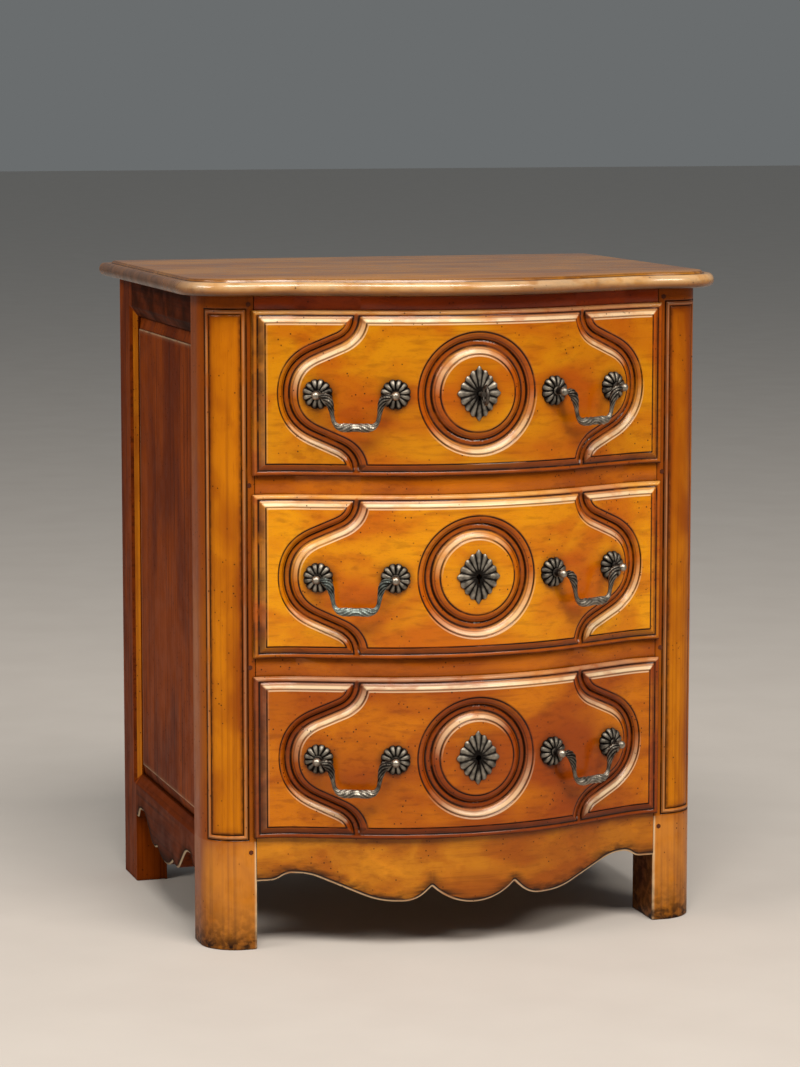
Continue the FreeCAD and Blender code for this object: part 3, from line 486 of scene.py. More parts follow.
def bare_wood(name, pale, tan, streak, axis):
    """Bare, planed softwood gone tan with age: straight bands of late wood, dull and dry to the eye."""
    material, tree, shader, place = blank(name)
    noises = {}
    for key, length, width in (("bands", 420, 7), ("drift", 300, 90), ("fibre", 30, 1.4)):
        scale = [1 / (width * MM)] * 3
        scale[axis] = 1 / (length * MM)
        spot = add(tree, "Mapping", {"Scale": scale}, {"Vector": place})
        noises[key] = add(tree, "TexNoise", {"Scale": 1.0, "Detail": 3.0}, {"Vector": spot})
    settings = {"data_type": "RGBA", 6: linear(pale), 7: linear(tan)}
    colour = add(tree, "Mix", settings, {0: noises["drift"]}, 2)
    for key, low, high, most in (("bands", 0.48, 0.66, 0.6), ("fibre", 0.52, 0.75, 0.35)):
        settings = {"From Min": low, "From Max": high, "To Max": most}
        share = add(tree, "MapRange", settings, {"Value": noises[key]})
        colour = add(tree, "Mix", {"data_type": "RGBA", 7: linear(streak)}, {0: share, 6: colour}, 2)
    bump = add(tree, "Bump", {"Strength": 0.25, "Distance": 0.4 * MM}, {"Height": noises["fibre"]})
    feed(tree, shader, {"Roughness": 0.68}, {"Base Color": colour, "Normal": bump})
    return material


# the same bare poplar by the way of its grain; the back's is a little darker
bare_upright = bare_wood("bare_poplar_upright", "#B58F5E", "#8E6638", "#5E3D1E", UPRIGHT)
bare_deep = bare_wood("bare_poplar_deep", "#BE9966", "#96703F", "#664322", DEEP)
bare_level = bare_wood("bare_poplar_level", "#BE9966", "#96703F", "#664322", ALONG)
dress(["back_boards"], bare_upright, 0.6)
dress(["rear_bottom_rail", "rear_top_rail"], bare_level, 1.0)
dress(["left_drawer_runners", "right_drawer_runners", "top_kickers"], bare_deep, 1.0)


# Top board: thick glued-up cherry, its edge worked to a round nose with a fine quirk behind it, screwed down
# from below. It is polished harder than the rest and mirrors the light.

TOP_OVERHANG, TOP_BACK_OVERHANG = 28.0, 8.0
NOSE_THICKNESS, NOSE_ROUND = 18.0, 7.0
FIELD_INSET, FIELD_TOP = 16.0, 900.0
# the mark "carve", less its zero, on the underside, the nose and the shelf behind it
UNDER_LEVEL, NOSE_LEVEL, SHELF_LEVEL = -9.0, -6.0, -3.0


def top_outline(overhang, back_overhang):
    """Outline of the top at an overhang: left side, bowed front with round corners, right side."""
    start = HALF_WIDTH - CORNER_RADIUS
    turns = np.linspace(math.pi / 2, 0, 17)[:-1]
    corner = np.stack([-start - (CORNER_RADIUS + overhang) * np.sin(turns),
                       CORNER_RADIUS - (CORNER_RADIUS + overhang) * np.cos(turns)], -1)
    x = np.linspace(-start, start, 161)
    front = np.stack([x, -bow(x) - overhang], -1)
    y = np.linspace(CARCASS_DEPTH + back_overhang, CORNER_RADIUS, 10)[:-1]
    left = np.stack([np.full(len(y), -HALF_WIDTH - overhang), y], -1)
    flip = np.array([-1, 1])
    return np.concatenate([left, corner, front, corner[::-1] * flip, left[::-1] * flip])


def top_board():
    """Rings of the board from its underside round the nose and the quirk to its field, and their marks."""
    steps = [(TOP_OVERHANG - NOSE_ROUND - 2, TOP_BACK_OVERHANG, CARCASS_TOP, UNDER_LEVEL)]
    for turn in np.linspace(-math.pi / 2, math.pi / 2, 15):
        out = TOP_OVERHANG - NOSE_ROUND * (1 - math.cos(turn))
        z = CARCASS_TOP + NOSE_THICKNESS * (1 + math.sin(turn)) / 2
        steps.append((out, TOP_BACK_OVERHANG, z, NOSE_LEVEL))
    shelf = CARCASS_TOP + NOSE_THICKNESS
    quirk = [(4.5, shelf - 0.1, SHELF_LEVEL), (2.9, shelf - 0.2, -1.2), (1.7, shelf - 1.1, 0.0),
             (0.6, shelf + 0.2, 1.2), (0.1, shelf + 1.8, 2.4), (-0.6, shelf + 2.9, 3.2),
             (-1.8, FIELD_TOP - 0.35, 4.0), (-3.6, FIELD_TOP, 5.0)]
    for out, z, level in quirk:
        steps.append((TOP_OVERHANG - FIELD_INSET + out, TOP_BACK_OVERHANG - FIELD_INSET + out, z, level))
    rings = np.stack([top_outline(out, back) for out, back, _, _ in steps])
    shape = rings.shape[:2]
    z, level = (np.broadcast_to(np.array(column)[:, None], shape) for column in list(zip(*steps))[2:])
    points = np.dstack([rings, z])
    nose = fade(level - NOSE_LEVEL, 0.4)
    high = (z - CARCASS_TOP) / NOSE_THICKNESS
    front = np.interp(points[..., 1], [0, 70], [1.0, 0.0])
    # a painted highlight on the front nose's upper half; the shelf behind it is rubbed pale
    wear_and_highlight = 0.28 * nose * np.interp(high, [0.30, 0.62], [0, 1]) * (0.1 + 0.9 * front)
    wear_and_highlight += 0.30 * fade(level - SHELF_LEVEL, 1.2) * front
    # painted shade on the nose's lower half and a painted dark reflection on its side returns, darker and
    # redder
    glaze_and_shade = nose * np.maximum(0.62 * (1 - front), np.interp(high, [0.02, 0.30], [0.75, 0.0]))
    shade = nose * np.maximum(1 - front, np.interp(high, [0.30, 0.60], [1.0, 0.0]))
    return points, capped(*shape), {"carve": CARVE_ZERO + level, "wear_and_highlight": wear_and_highlight, "glaze_and_shade": glaze_and_shade, "shade": shade}


# brown cherry under a hard wax polish
top_cherry = cherry("polished_cherry_top", "#A0660C", "#7E4806", "#562A04", ALONG, gloss=0.22, coat=0.30,
                    mirror=0.45, grain=0.55, cloudy=0.30)
piece("moulded_top_board", top_board(), top_cherry, "top_board", 30)


# Drawer fronts: one thick bowed board each, lipped all round to lap the frame. A sunk valley with rounded
# flanks is carved round two side panels and a ring; glaze and painted shade sit dark in it, and a highlight
# is painted on the flanks that face the light. The ends are cut to pins for the sides' tails. Sides, backs
# and bottoms are bare boards.

LIP_HALF_WIDTH, LIP_HALF_HEIGHT, LIP_ROUND = 287.5, 109.3, 4.0
LIP_BACK, GROUND_FRONT, FIELD_RISE, FLANK_RISE = 0.6, 8.0, 5.0, 4.4
LIP_STRIP, OVOLO = 7.0, 9.0
VALLEY_HALF, VALLEY_DEEP = 3.5, 2.4
CARTOUCHE = [(157.0, 130.0), (157.0, 78.4), (243.0, 38.2), (243.0, -38.2)]
CARTOUCHE_SHARES = [0.47, 0.5]
RING_MIDDLE, RING_HALF, RING_OVOLO = 66.25, 3.85, 10.7
HANDLE_PLACES = (-206.0, -110.0, 110.0, 206.0)
HANDLE_MIDDLE = 158.0
PLATE_HALF_WIDTH, PLATE_HALF_HEIGHT = 29.0, 35.0
KEYHOLE_RADIUS, KEYHOLE_SLOT, KEYHOLE_DROP, KEYHOLE_DEEP = 3.8, 1.5, 9.5, 14.0
CELL = 1.25
DRAWER_HALF, DRAWER_INNER_HALF = 281.5, 269.5
BLOCK_LOW, BLOCK_HIGH, BLOCK_FRONT, BLOCK_BACK = -86.7, 102.8, -2.0, 15.0
TAIL_COUNT, TAIL_FRONT, TAIL_SHOULDER, TAIL_WIDE, TAIL_NARROW = 4, 2.5, 12.5, 0.66, 0.46
DRAWERS = (("bottom", 261.8), ("middle", 505.4), ("top", 749.0))


def line_distance(x, z, line):
    """Distance of points from a broken line."""
    best = np.full(x.shape, 1e9)
    for (ax, az), (bx, bz) in zip(line, line[1:]):
        dx, dz = bx - ax, bz - az
        share = np.clip(((x - ax) * dx + (z - az) * dz) / (dx * dx + dz * dz), 0, 1)
        best = np.minimum(best, np.hypot(x - ax - share * dx, z - az - share * dz))
    return best


def carving(x, z):
    """Distance up the flank from the nearest sunk ground, and from the front's edge, in mm."""
    valley = line_distance(np.abs(x), np.abs(z), rounded(CARTOUCHE, CARTOUCHE_SHARES, 24)) - VALLEY_HALF
    ring = (np.abs(np.hypot(x, z) - RING_MIDDLE) - RING_HALF) * OVOLO / RING_OVOLO
    edge = np.minimum(LIP_HALF_WIDTH - np.abs(x), LIP_HALF_HEIGHT - np.abs(z))
    return np.minimum.reduce([valley, ring, edge - LIP_STRIP]), edge


def facing_sky(slope_x, slope_z, up, edge):
    """How far a flank or the lip faces up and a little left, where a highlight is painted and glaze painted
    out, and how far down or left, where painted shade is added.
    """
    toward = np.clip((0.30 * slope_x - 0.95 * slope_z - 0.2) / 0.8, 0, 1)
    flank = np.interp(up, [-0.5, 1.0, OVOLO + 2.5, OVOLO + 4.5], [0, 1, 1, 0])
    lip = np.interp(edge, [4.5, 6.0], [1, 0])
    border = np.interp(edge, [15, 18], [1, 0])
    under = np.clip(0.8 * slope_x + 0.8 * slope_z, 0, 1) * (1 + border * (3 + 4.5 * np.clip(slope_x, 0, 1)))
    return toward * np.maximum(flank, lip), under


def carved_face():
    """Net of the carved face, its points drawn onto the carving's lines: x, z, height over the ground,
    and how it lies in the carving and to the light."""
    columns = int(2 * LIP_HALF_WIDTH / CELL) + 1
    rows = int(2 * LIP_HALF_HEIGHT / CELL) + 1
    x, z = np.meshgrid(np.linspace(-LIP_HALF_WIDTH, LIP_HALF_WIDTH, columns),
                       np.linspace(-LIP_HALF_HEIGHT, LIP_HALF_HEIGHT, rows))
    up, edge = carving(x, z)
    slope_z, slope_x = np.gradient(up, z[:, 0], x[0])
    steep = np.maximum(np.hypot(slope_x, slope_z), 0.3)
    for level in (0.0, OVOLO):
        near = (np.abs(up - level) < 0.55 * CELL) & (edge > CELL)
        move = np.where(near, (level - up) / steep ** 2, 0)
        x, z = x + move * slope_x, z + move * slope_z
    up, edge = carving(x, z)
    flank = np.clip(up / OVOLO, 0, 1)
    floor = -VALLEY_DEEP * np.clip((edge - LIP_STRIP) / 6.0, 0, 1)
    rise = floor + (FLANK_RISE - floor) * (0.65 * flank + 0.35 * (1 - (1 - flank) ** 2))
    # a quirk at the head of the flank, the step up to the field, and a scratched line at the flank's foot
    rise -= 1.1 * fade(up - OVOLO, 0.8)
    rise += np.interp(up, [OVOLO + 0.2, OVOLO + 1.4], [0, FIELD_RISE - FLANK_RISE])
    rise -= 1.3 * fade(up + 0.4, 1.0)
    rise -= LIP_ROUND - np.sqrt(np.maximum(LIP_ROUND ** 2 - np.maximum(LIP_ROUND - edge, 0) ** 2, 0))
    return x, z, rise, up, edge, *facing_sky(slope_x, slope_z, up, edge)


def front_marks(x, z, up, edge, sky, under):
    """Glaze and painted shade in the valleys, stains round the mounts, and painted highlights on flanks
    facing the light.
    """
    sunk = (up < 0.5) & (edge > LIP_STRIP + 1)
    # glaze and painted shade: dark at edges, valleys and flank feet, more facing down-left, less facing the
    # light
    glaze_and_shade = np.where(sunk, 0.22, 0.0) + 0.40 * fade(edge - LIP_STRIP, 1.8)
    glaze_and_shade += np.interp(up, [-2, 0, 3, 6], [0.14, 0.30, 0.06, 0.0])
    glaze_and_shade += 0.80 * fade(edge, 1.8)
    glaze_and_shade += 0.10 * under * np.interp(up, [-2, 0.5, 7, 9.5], [0.2, 1, 1, 0])
    glaze_and_shade = np.minimum(glaze_and_shade, 0.78) * (1 - 0.8 * sky)
    for place in HANDLE_PLACES:
        away = np.hypot(x - place, z)
        glaze_and_shade = np.maximum(glaze_and_shade, 0.42 * fade(np.maximum(away - 18, 0), 6.0))
    away = np.hypot(x / PLATE_HALF_WIDTH, z / PLATE_HALF_HEIGHT)
    glaze_and_shade = np.maximum(glaze_and_shade, 0.34 * fade(np.maximum(away - 0.8, 0), 0.22))
    # a painted highlight on the flanks and lip edges that face the light
    wear_and_highlight = sky * np.interp(up, [0, 2.5, 4.5, OVOLO - 0.5, OVOLO + 0.5], [0.20, 0.16, 0.62, 0.68, 0])
    # redder on the flanks, except where painted as lit, and below the handles; more golden toward the ends
    shade = np.interp(up, [-1, 1, 8, 11], [0.95, 0.85, 0.65, 0.0]) * (1 - sky)
    shade += 0.85 * fade(np.abs(x) - HANDLE_MIDDLE, 60) * fade(z + 28, 45)
    shade -= 0.30 * np.interp(np.abs(x), [222, 250], [0, 1])
    carve = CARVE_ZERO + np.clip(up, -20, 20)
    return {"carve": carve, "glaze_and_shade": glaze_and_shade, "wear_and_highlight": wear_and_highlight, "shade": shade, "sky": sky}


def prism(outline, low, high, start):
    """A straight bar along x from an outline of (y, z)."""
    points = [(x, y, z) for x in (low, high) for y, z in outline]
    return points, capped(2, len(outline), start)


def drawer_front():
    """The carved face, the lip's rim and back, the block inside the opening, and the pins at both ends."""
    x, z, rise, up, edge, sky, under = carved_face()
    rows, columns = x.shape
    y = -bow(x) - GROUND_FRONT - rise
    # the keyhole is sunk deep and painted black, as painted shade inside it
    hole = (np.hypot(x, z) < KEYHOLE_RADIUS) | ((np.abs(x) < KEYHOLE_SLOT) & (z < 0) & (z > -KEYHOLE_DROP))
    marks = front_marks(x, z, up, edge, sky, under)
    marks["glaze_and_shade"] = np.where(hole, 1.0, marks["glaze_and_shade"])
    y = np.where(hole, y + KEYHOLE_DEEP, y)
    points = [np.stack([x, y, z], -1).reshape(-1, 3)]
    faces = net(rows, columns)
    index = np.arange(rows * columns).reshape(rows, columns)
    rim = np.concatenate([index[0, :-1], index[:-1, -1], index[-1, :0:-1], index[:0:-1, 0]])
    back = rows * columns + np.arange(len(rim))
    rim_x, rim_z = x.reshape(-1)[rim], z.reshape(-1)[rim]
    points.append(np.stack([rim_x, -bow(rim_x) - LIP_BACK, rim_z], -1))
    faces += [[rim[i - 1], rim[i], back[i], back[i - 1]] for i in range(len(rim))]
    low = back[:columns]
    high = back[columns - 1 + rows - 1:2 * columns + rows - 2][::-1]
    right = back[columns - 1:columns + rows - 1]
    left = np.concatenate([back[2 * columns + rows - 3:], back[:1]])
    faces += [[low[i], low[i + 1], high[i + 1], high[i]] for i in range(1, columns - 2)]
    faces += [[*left.tolist(), low[1], high[1]], [low[-2], *right.tolist(), high[-2]]]
    count = sum(len(p) for p in points)
    block_x = np.linspace(-DRAWER_INNER_HALF, DRAWER_INNER_HALF, 137)
    loop = [(BLOCK_FRONT, BLOCK_LOW), (BLOCK_FRONT, BLOCK_HIGH), (BLOCK_BACK, BLOCK_HIGH),
            (BLOCK_BACK, BLOCK_LOW)]
    points.append(np.array([(bx, -b + by, bz) for bx, b in zip(block_x, bow(block_x)) for by, bz in loop]))
    faces += capped(len(block_x), len(loop), count)
    count += len(points[-1])
    pitch = (BLOCK_HIGH - BLOCK_LOW) / TAIL_COUNT
    wide, narrow = pitch * TAIL_WIDE / 2, pitch * TAIL_NARROW / 2
    outline = [(BLOCK_FRONT, BLOCK_LOW), (BLOCK_FRONT, BLOCK_HIGH), (TAIL_SHOULDER, BLOCK_HIGH)]
    for i in reversed(range(TAIL_COUNT)):
        middle = BLOCK_LOW + pitch * (i + 0.5)
        outline += [(TAIL_SHOULDER, middle + narrow), (TAIL_FRONT, middle + wide),
                    (TAIL_FRONT, middle - wide), (TAIL_SHOULDER, middle - narrow)]
    outline.append((TAIL_SHOULDER, BLOCK_LOW))
    for low_x, high_x in ((DRAWER_INNER_HALF, DRAWER_HALF), (-DRAWER_HALF, -DRAWER_INNER_HALF)):
        comb, comb_faces = prism(outline, low_x, high_x, count)
        points.append(np.array(comb))
        faces += comb_faces
        count += len(comb)
    spare = count - rows * columns
    marks = {key: np.concatenate([values.ravel(), np.zeros(spare)]) for key, values in marks.items()}
    return np.concatenate(points), faces, marks


# three boards of honey cherry: the middle one the lightest, the bottom one the reddest
figure = {"axis": ALONG, "grain": 0.36}
drawer_cherries = {
    "top": cherry("honey_cherry_top_drawer", "#B57403", "#9C4803", "#6A3203", cloudy=0.55, **figure),
    "middle": cherry("honey_cherry_middle_drawer", "#CA8403", "#A85003", "#6C3303", cloudy=0.55, **figure),
    "bottom": cherry("red_cherry_bottom_drawer", "#B06202", "#863802", "#5C2303", cloudy=0.60, **figure),
}
shape = drawer_front()
for drawer, middle in DRAWERS:
    body = drawer + "_drawer"
    piece(f"carved_{drawer}_drawer_front", shape, drawer_cherries[drawer], body + "_front", body=body,
          middle=middle)
    dress([body + "_left_side", body + "_right_side"], bare_deep, 0.8)
    dress([body + "_back", body + "_bottom"], bare_level, 0.5)


# Locks: iron cases let into the fronts from inside and screwed there, each with a long bolt up to the rail
# above, forged and filed, gone dark.


def metal(name, dark, bright, rough, crest_bias):
    """Cast or forged metal with an old skin: dark in the hollows, rubbed bright on crests, softly pitted."""
    material, tree, shader, place = blank(name)
    cloud = add(tree, "TexNoise", {"Scale": 1 / (9 * MM), "Detail": 4.0}, {"Vector": place})
    # casting grain is about 0.3 mm; drawn at 1.2 mm so that it shows
    grain = add(tree, "TexNoise", {"Scale": 1 / (1.2 * MM), "Detail": 2.0}, {"Vector": place})
    crest = add(tree, "Attribute", {"attribute_name": "crest"}, output="Fac")
    rubbed = add(tree, "Math", {"operation": "ADD", 1: crest_bias}, {0: crest})
    rubbed = add(tree, "Math", {"operation": "MULTIPLY"}, {0: rubbed, 1: cloud})
    rubbed = add(tree, "MapRange", {"From Min": 0.16, "From Max": 0.62}, {"Value": rubbed})
    settings = {"data_type": "RGBA", 6: linear(dark), 7: linear(bright)}
    colour = add(tree, "Mix", settings, {0: rubbed}, 2)
    settings = {"To Min": rough + 0.14, "To Max": rough - 0.08}
    dull = add(tree, "MapRange", settings, {"Value": rubbed})
    bump = add(tree, "Bump", {"Strength": 0.25, "Distance": 0.3 * MM}, {"Height": grain})
    feed(tree, shader, {"Metallic": 1.0}, {"Base Color": colour, "Roughness": dull, "Normal": bump})
    return material


# iron filed flat, with a brown-black skin
iron = metal("filed_dark_iron", "#3A3632", "#8C867C", 0.48, 0.5)
for drawer, _ in DRAWERS:
    dress([f"{drawer}_drawer_lock_case", f"{drawer}_drawer_lock_bolt"], iron, 0.4)


# Handles: cast pewter. Each rosette is a flower of twelve domed petals under a turned stud, which a nut holds
# from inside. A swan-necked bail, cast with leaves and a ring on its grip, hangs between two studs' balls.

FIELD_FRONT = 13.0
ROSETTE_RADIUS, ROSETTE_BACK, PETALS = 20.0, -0.2, 12
BALL_REACH, BALL_RADIUS = 23.0, 5.6
BAIL_DROP, GRIP_RADIUS, GRIP_RING, GRIP_RING_WIDTH = 42.0, 5.4, 6.3, 5.0
LEAVES, LEAF_PITCH, LEAF_RISE = 7, 1.3, 0.11
STUD_PROFILE = [(5.6, 6.8), (6.0, 7.6), (5.9, 8.8), (5.0, 9.6), (4.0, 11.0), (3.6, 13.0), (3.8, 15.0),
                (4.6, 16.6)]
NUT_RADIUS, NUT_HEIGHT = 6.0, 4.0
# half a bail, from its pin to the middle of its grip: shares of half its length, its drop and its thickness
BAIL_STATIONS = [
    (0.02, 0.0, 0.35), (0.10, 0.0, 0.45), (0.16, 0.01, 0.76), (0.24, 0.05, 0.96), (0.315, 0.14, 0.98),
    (0.365, 0.30, 0.84), (0.395, 0.48, 0.62), (0.42, 0.66, 0.50), (0.455, 0.82, 0.52), (0.52, 0.93, 0.64),
    (0.60, 0.985, 0.86), (0.72, 1.0, 1.02), (0.86, 1.0, 0.98), (0.935, 1.0, 0.92),
]
# pewter gone black in its hollows, and a bail of it gone a little green
pewter = metal("blackened_pewter", "#1E1B19", "#AEA699", 0.45, 0.0)
green_pewter = metal("weathered_pewter", "#1E1F1E", "#A2AEA9", 0.52, 0.05)


def circle(count):
    """Turns spread evenly round a circle."""
    return np.linspace(0, 2 * math.pi, count, endpoint=False)


def bow_turn(x):
    """How far the bowed front is turned aside at x."""
    return min(math.asin(min(abs(x) / BOW_MIDDLE_RADIUS, 1)), BOW_TURN)


def outward(x):
    """The unit direction straight out of the bowed front at x."""
    return np.array([math.copysign(math.sin(bow_turn(x)), x), -math.cos(bow_turn(x)), 0.0])


def seat(x):
    """The point of the front's field at x, at the height of the drawer's middle."""
    return np.array([x, -float(bow(x)) - FIELD_FRONT, 0.0])


def turned(x, radius, height, turn):
    """Points round the line out of the front at x, at radii, heights and turns."""
    out = outward(x)
    level = np.array([-out[1], out[0], 0.0])
    radius, height, turn = np.broadcast_arrays(radius, height, turn)
    across = (radius * np.cos(turn))[..., None] * level + (radius * np.sin(turn))[..., None] * [0.0, 0.0, 1.0]
    return seat(x) + across + height[..., None] * out


def rosette(x):
    turn = circle(PETALS * 12)
    gap = np.abs(2 * ((turn * PETALS / (2 * math.pi)) % 1) - 1)
    share = np.concatenate([np.linspace(0.22, 0.9, 14), [0.94, 0.975, 1.0]])[:, None]
    radius = ROSETTE_RADIUS * share * (1 - 0.09 * share * gap ** 3)
    petal = np.sin(math.pi * np.clip((share - 0.18) / 0.95, 0, 1)) ** 0.8
    dome = 1.6 + 3.4 * (1 - share ** 2) + 2.9 * petal * (1 - gap ** 3.2) ** 0.8
    height = dome * (0.45 + 0.55 * np.sqrt(np.clip((1 - share) / 0.1, 0, 1)))
    crest = (0.12 + 0.72 * petal) * (1 - gap ** 1.8)
    radius = np.vstack([radius, radius[-1:]])
    height = np.vstack([height, np.full((1, len(turn)), ROSETTE_BACK)])
    return turned(x, radius, height, turn), np.vstack([crest, np.zeros((1, len(turn)))])


def stud(x):
    profile = list(STUD_PROFILE)
    for tilt in np.linspace(-0.85, 1.5, 12):
        profile.append((BALL_RADIUS * math.cos(tilt), BALL_REACH + BALL_RADIUS * math.sin(tilt)))
    radius, height = np.array(profile).T[..., None]
    crest = np.interp(height, [7, 9, 11, 17, 24, 29], [0.2, 0.5, 0.1, 0.3, 0.8, 1.0])
    return turned(x, radius, height, circle(28)), crest


def nut(x):
    inside = (FIELD_FRONT + BLOCK_BACK) * math.cos(bow_turn(x)) + 0.1
    profile = [(NUT_RADIUS, -inside), (NUT_RADIUS, -inside - NUT_HEIGHT + 0.8),
               (NUT_RADIUS - 1.2, -inside - NUT_HEIGHT)]
    radius, height = np.array(profile).T[..., None]
    return turned(x, radius, height, circle(6)), 0.4


def smooth_row(rows, steps):
    """Points on a smooth line through all the given rows."""
    rows = np.asarray(rows, float)
    ends = np.vstack([2 * rows[0] - rows[1], rows, 2 * rows[-1] - rows[-2]])
    t = np.linspace(0, 1, steps, endpoint=False)[:, None]
    line = []
    for a, b, c, d in zip(ends, ends[1:], ends[2:], ends[3:]):
        bend = (2 * a - 5 * b + 4 * c - d) * t ** 2 + (3 * b - a - 3 * c + d) * t ** 3
        line.append(0.5 * (2 * b + (c - a) * t + bend))
    return np.vstack(line + [rows[-1:]])


def bail(x, other):
    first = seat(x) + outward(x) * BALL_REACH
    axis = seat(other) + outward(other) * BALL_REACH - first
    length = np.linalg.norm(axis)
    axis = axis / length
    down = np.array([0.0, 0.0, -1.0])
    out = np.cross(axis, down)
    half = smooth_row(BAIL_STATIONS, 10)
    row = np.vstack([half, half[::-1] * [-1, 1, 1] + [2, 0, 0]])
    ring = np.abs(row[:, 0] - 1) * length / 2
    row[:, 2] = np.where(ring < GRIP_RING_WIDTH / 2, GRIP_RING / GRIP_RADIUS, row[:, 2])
    places = first + np.outer(row[:, 0] * length / 2, axis) + np.outer(row[:, 1] * BAIL_DROP, down)
    heading = np.gradient(places, axis=0)
    heading /= np.linalg.norm(heading, axis=1)[:, None]
    turn = circle(24)
    travel = np.concatenate([[0], np.cumsum(np.linalg.norm(np.diff(places, axis=0), axis=1))])[:, None]
    mirror = np.where(row[:, 0] < 1, 1.0, -1.0)[:, None]
    leafy = (np.interp(row[:, 2], [0.42, 0.6], [0, 1]) * (ring > GRIP_RING_WIDTH / 2 + 0.4))[:, None]
    twist = np.cos(LEAVES * turn + mirror * (travel - travel[-1] / 2) / LEAF_PITCH)
    radius = row[:, 2:3] * GRIP_RADIUS * (1 + LEAF_RISE * leafy * twist)
    across = np.cross(heading, out)[:, None]
    spoke = np.cos(turn)[:, None] * out + np.sin(turn)[:, None] * across
    points = places[:, None] + radius[..., None] * spoke
    crest = 0.30 + 0.45 * np.interp(row[:, 1], [0.3, 0.97], [0.3, 1.0])[:, None] + 0.22 * twist * leafy
    return points, crest


def cast(name, shapes, middle, body, node, material=pewter):
    """Several closed nets as one cast piece, at the height of a drawer's middle."""
    points, crests, faces, count = [], [], [], 0
    for places, crest in shapes:
        rows, columns = places.shape[:2]
        points.append(places.reshape(-1, 3))
        crests.append(np.broadcast_to(crest, (rows, columns)).ravel())
        faces += capped(rows, columns, count)
        count += rows * columns
    shape = (np.concatenate(points), faces, {"crest": np.concatenate(crests)})
    piece(name, shape, material, node, 50, body, middle)


for drawer, middle in DRAWERS:
    body = drawer + "_drawer"
    rosettes = [rosette(x) for x in HANDLE_PLACES]
    cast(f"petalled_{drawer}_rosettes", rosettes, middle, body, body + "_rosettes")
    studs = [stud(x) for x in HANDLE_PLACES] + [nut(x) for x in HANDLE_PLACES]
    cast(f"turned_{drawer}_studs", studs, middle, body, body + "_handle_posts")
    for hand, pair in (("left", HANDLE_PLACES[:2]), ("right", HANDLE_PLACES[2:])):
        skin = green_pewter if (drawer, hand) == ("middle", "left") else pewter
        cast(f"leafy_{drawer}_{hand}_bail", [bail(*pair)], middle, f"{drawer}_{hand}_bail",
             f"{body}_{hand}_bail", skin)


# Escutcheons: cast pewter lozenges with sixteen flutes that fan out from the keyhole, pinned over the middle
# of the ring. Their edges are scalloped between the flutes.

FLUTES, SCALLOP = 16, 0.035
PLATE_BACK, PLATE_HOLE_BACK = -1.3, -1.0


def escutcheon():
    """Rings of the plate from its back at the keyhole out over the flutes to its back at the edge."""
    turn = circle(FLUTES * 14)
    across, up = np.cos(turn), np.sin(turn)
    reach = (1 + SCALLOP * np.cos(FLUTES * turn)) / np.sqrt(np.abs(across) + np.abs(up))
    slot = np.minimum(KEYHOLE_DROP / np.maximum(-up, 1e-6), KEYHOLE_SLOT / np.maximum(np.abs(across), 1e-6))
    hole = np.maximum(KEYHOLE_RADIUS, np.where(up < 0, slot, 0))
    outer = np.hypot(PLATE_HALF_WIDTH * reach * across, PLATE_HALF_HEIGHT * reach * up)
    heading = np.arctan2(PLATE_HALF_HEIGHT * up, PLATE_HALF_WIDTH * across)
    share = np.array([0, 0, 0.05, 0.14, 0.26, 0.40, 0.55, 0.70, 0.82, 0.91, 0.96, 1.0, 1.0])[:, None]
    radius = hole + (outer - hole) * share
    flute = np.abs(np.cos(FLUTES * turn / 2)) ** 0.8
    fan = np.interp(share, [0, 0.1, 0.5, 1], [0, 0.25, 1, 1])
    dome = 1.4 + 1.6 * (1 - share ** 2) + 1.5 * fan * (flute - 0.45)
    height = dome * (0.35 + 0.65 * np.sqrt(np.clip((1.02 - share) / 0.12, 0, 1)))
    height[0] = PLATE_HOLE_BACK
    height[-1] = PLATE_BACK
    crest = 0.85 * fan * flute
    crest[0] = crest[-1] = 0
    points = np.dstack([radius * np.cos(heading), -BOW_SAG - FIELD_FRONT - height, radius * np.sin(heading)])
    rows, columns = crest.shape
    last = (rows - 1) * columns
    rim = [[last + i, last + (i + 1) % columns, (i + 1) % columns, i] for i in range(columns)]
    return points.reshape(-1, 3), net(rows, columns, True) + rim, {"crest": crest}


shape = escutcheon()
for drawer, middle in DRAWERS:
    body = drawer + "_drawer"
    piece(f"fluted_{drawer}_escutcheon", shape, pewter, body + "_escutcheon", 50, body, middle)


# Key: forged iron in the top lock, with an oval ring to hold it by, a turned collar and a bit that lifts the
# bolt. It goes through the escutcheon and turns in the lock case.

KEY_FRONT, KEY_RING_DEPTH, KEY_RING_HEIGHT, KEY_WIRE = 125.0, 23.0, 28.0, 1.9
KEY_SHANK, KEY_BEAD, KEY_COLLAR, KEY_END = 2.6, 3.2, 3.9, -52.5
KEY_BIT, KEY_BIT_WIDTH, KEY_BIT_FRONT, KEY_BIT_ROOT = 8.0, 2.8, -56.5, 1.0
KEY_HEIGHT = 749.0


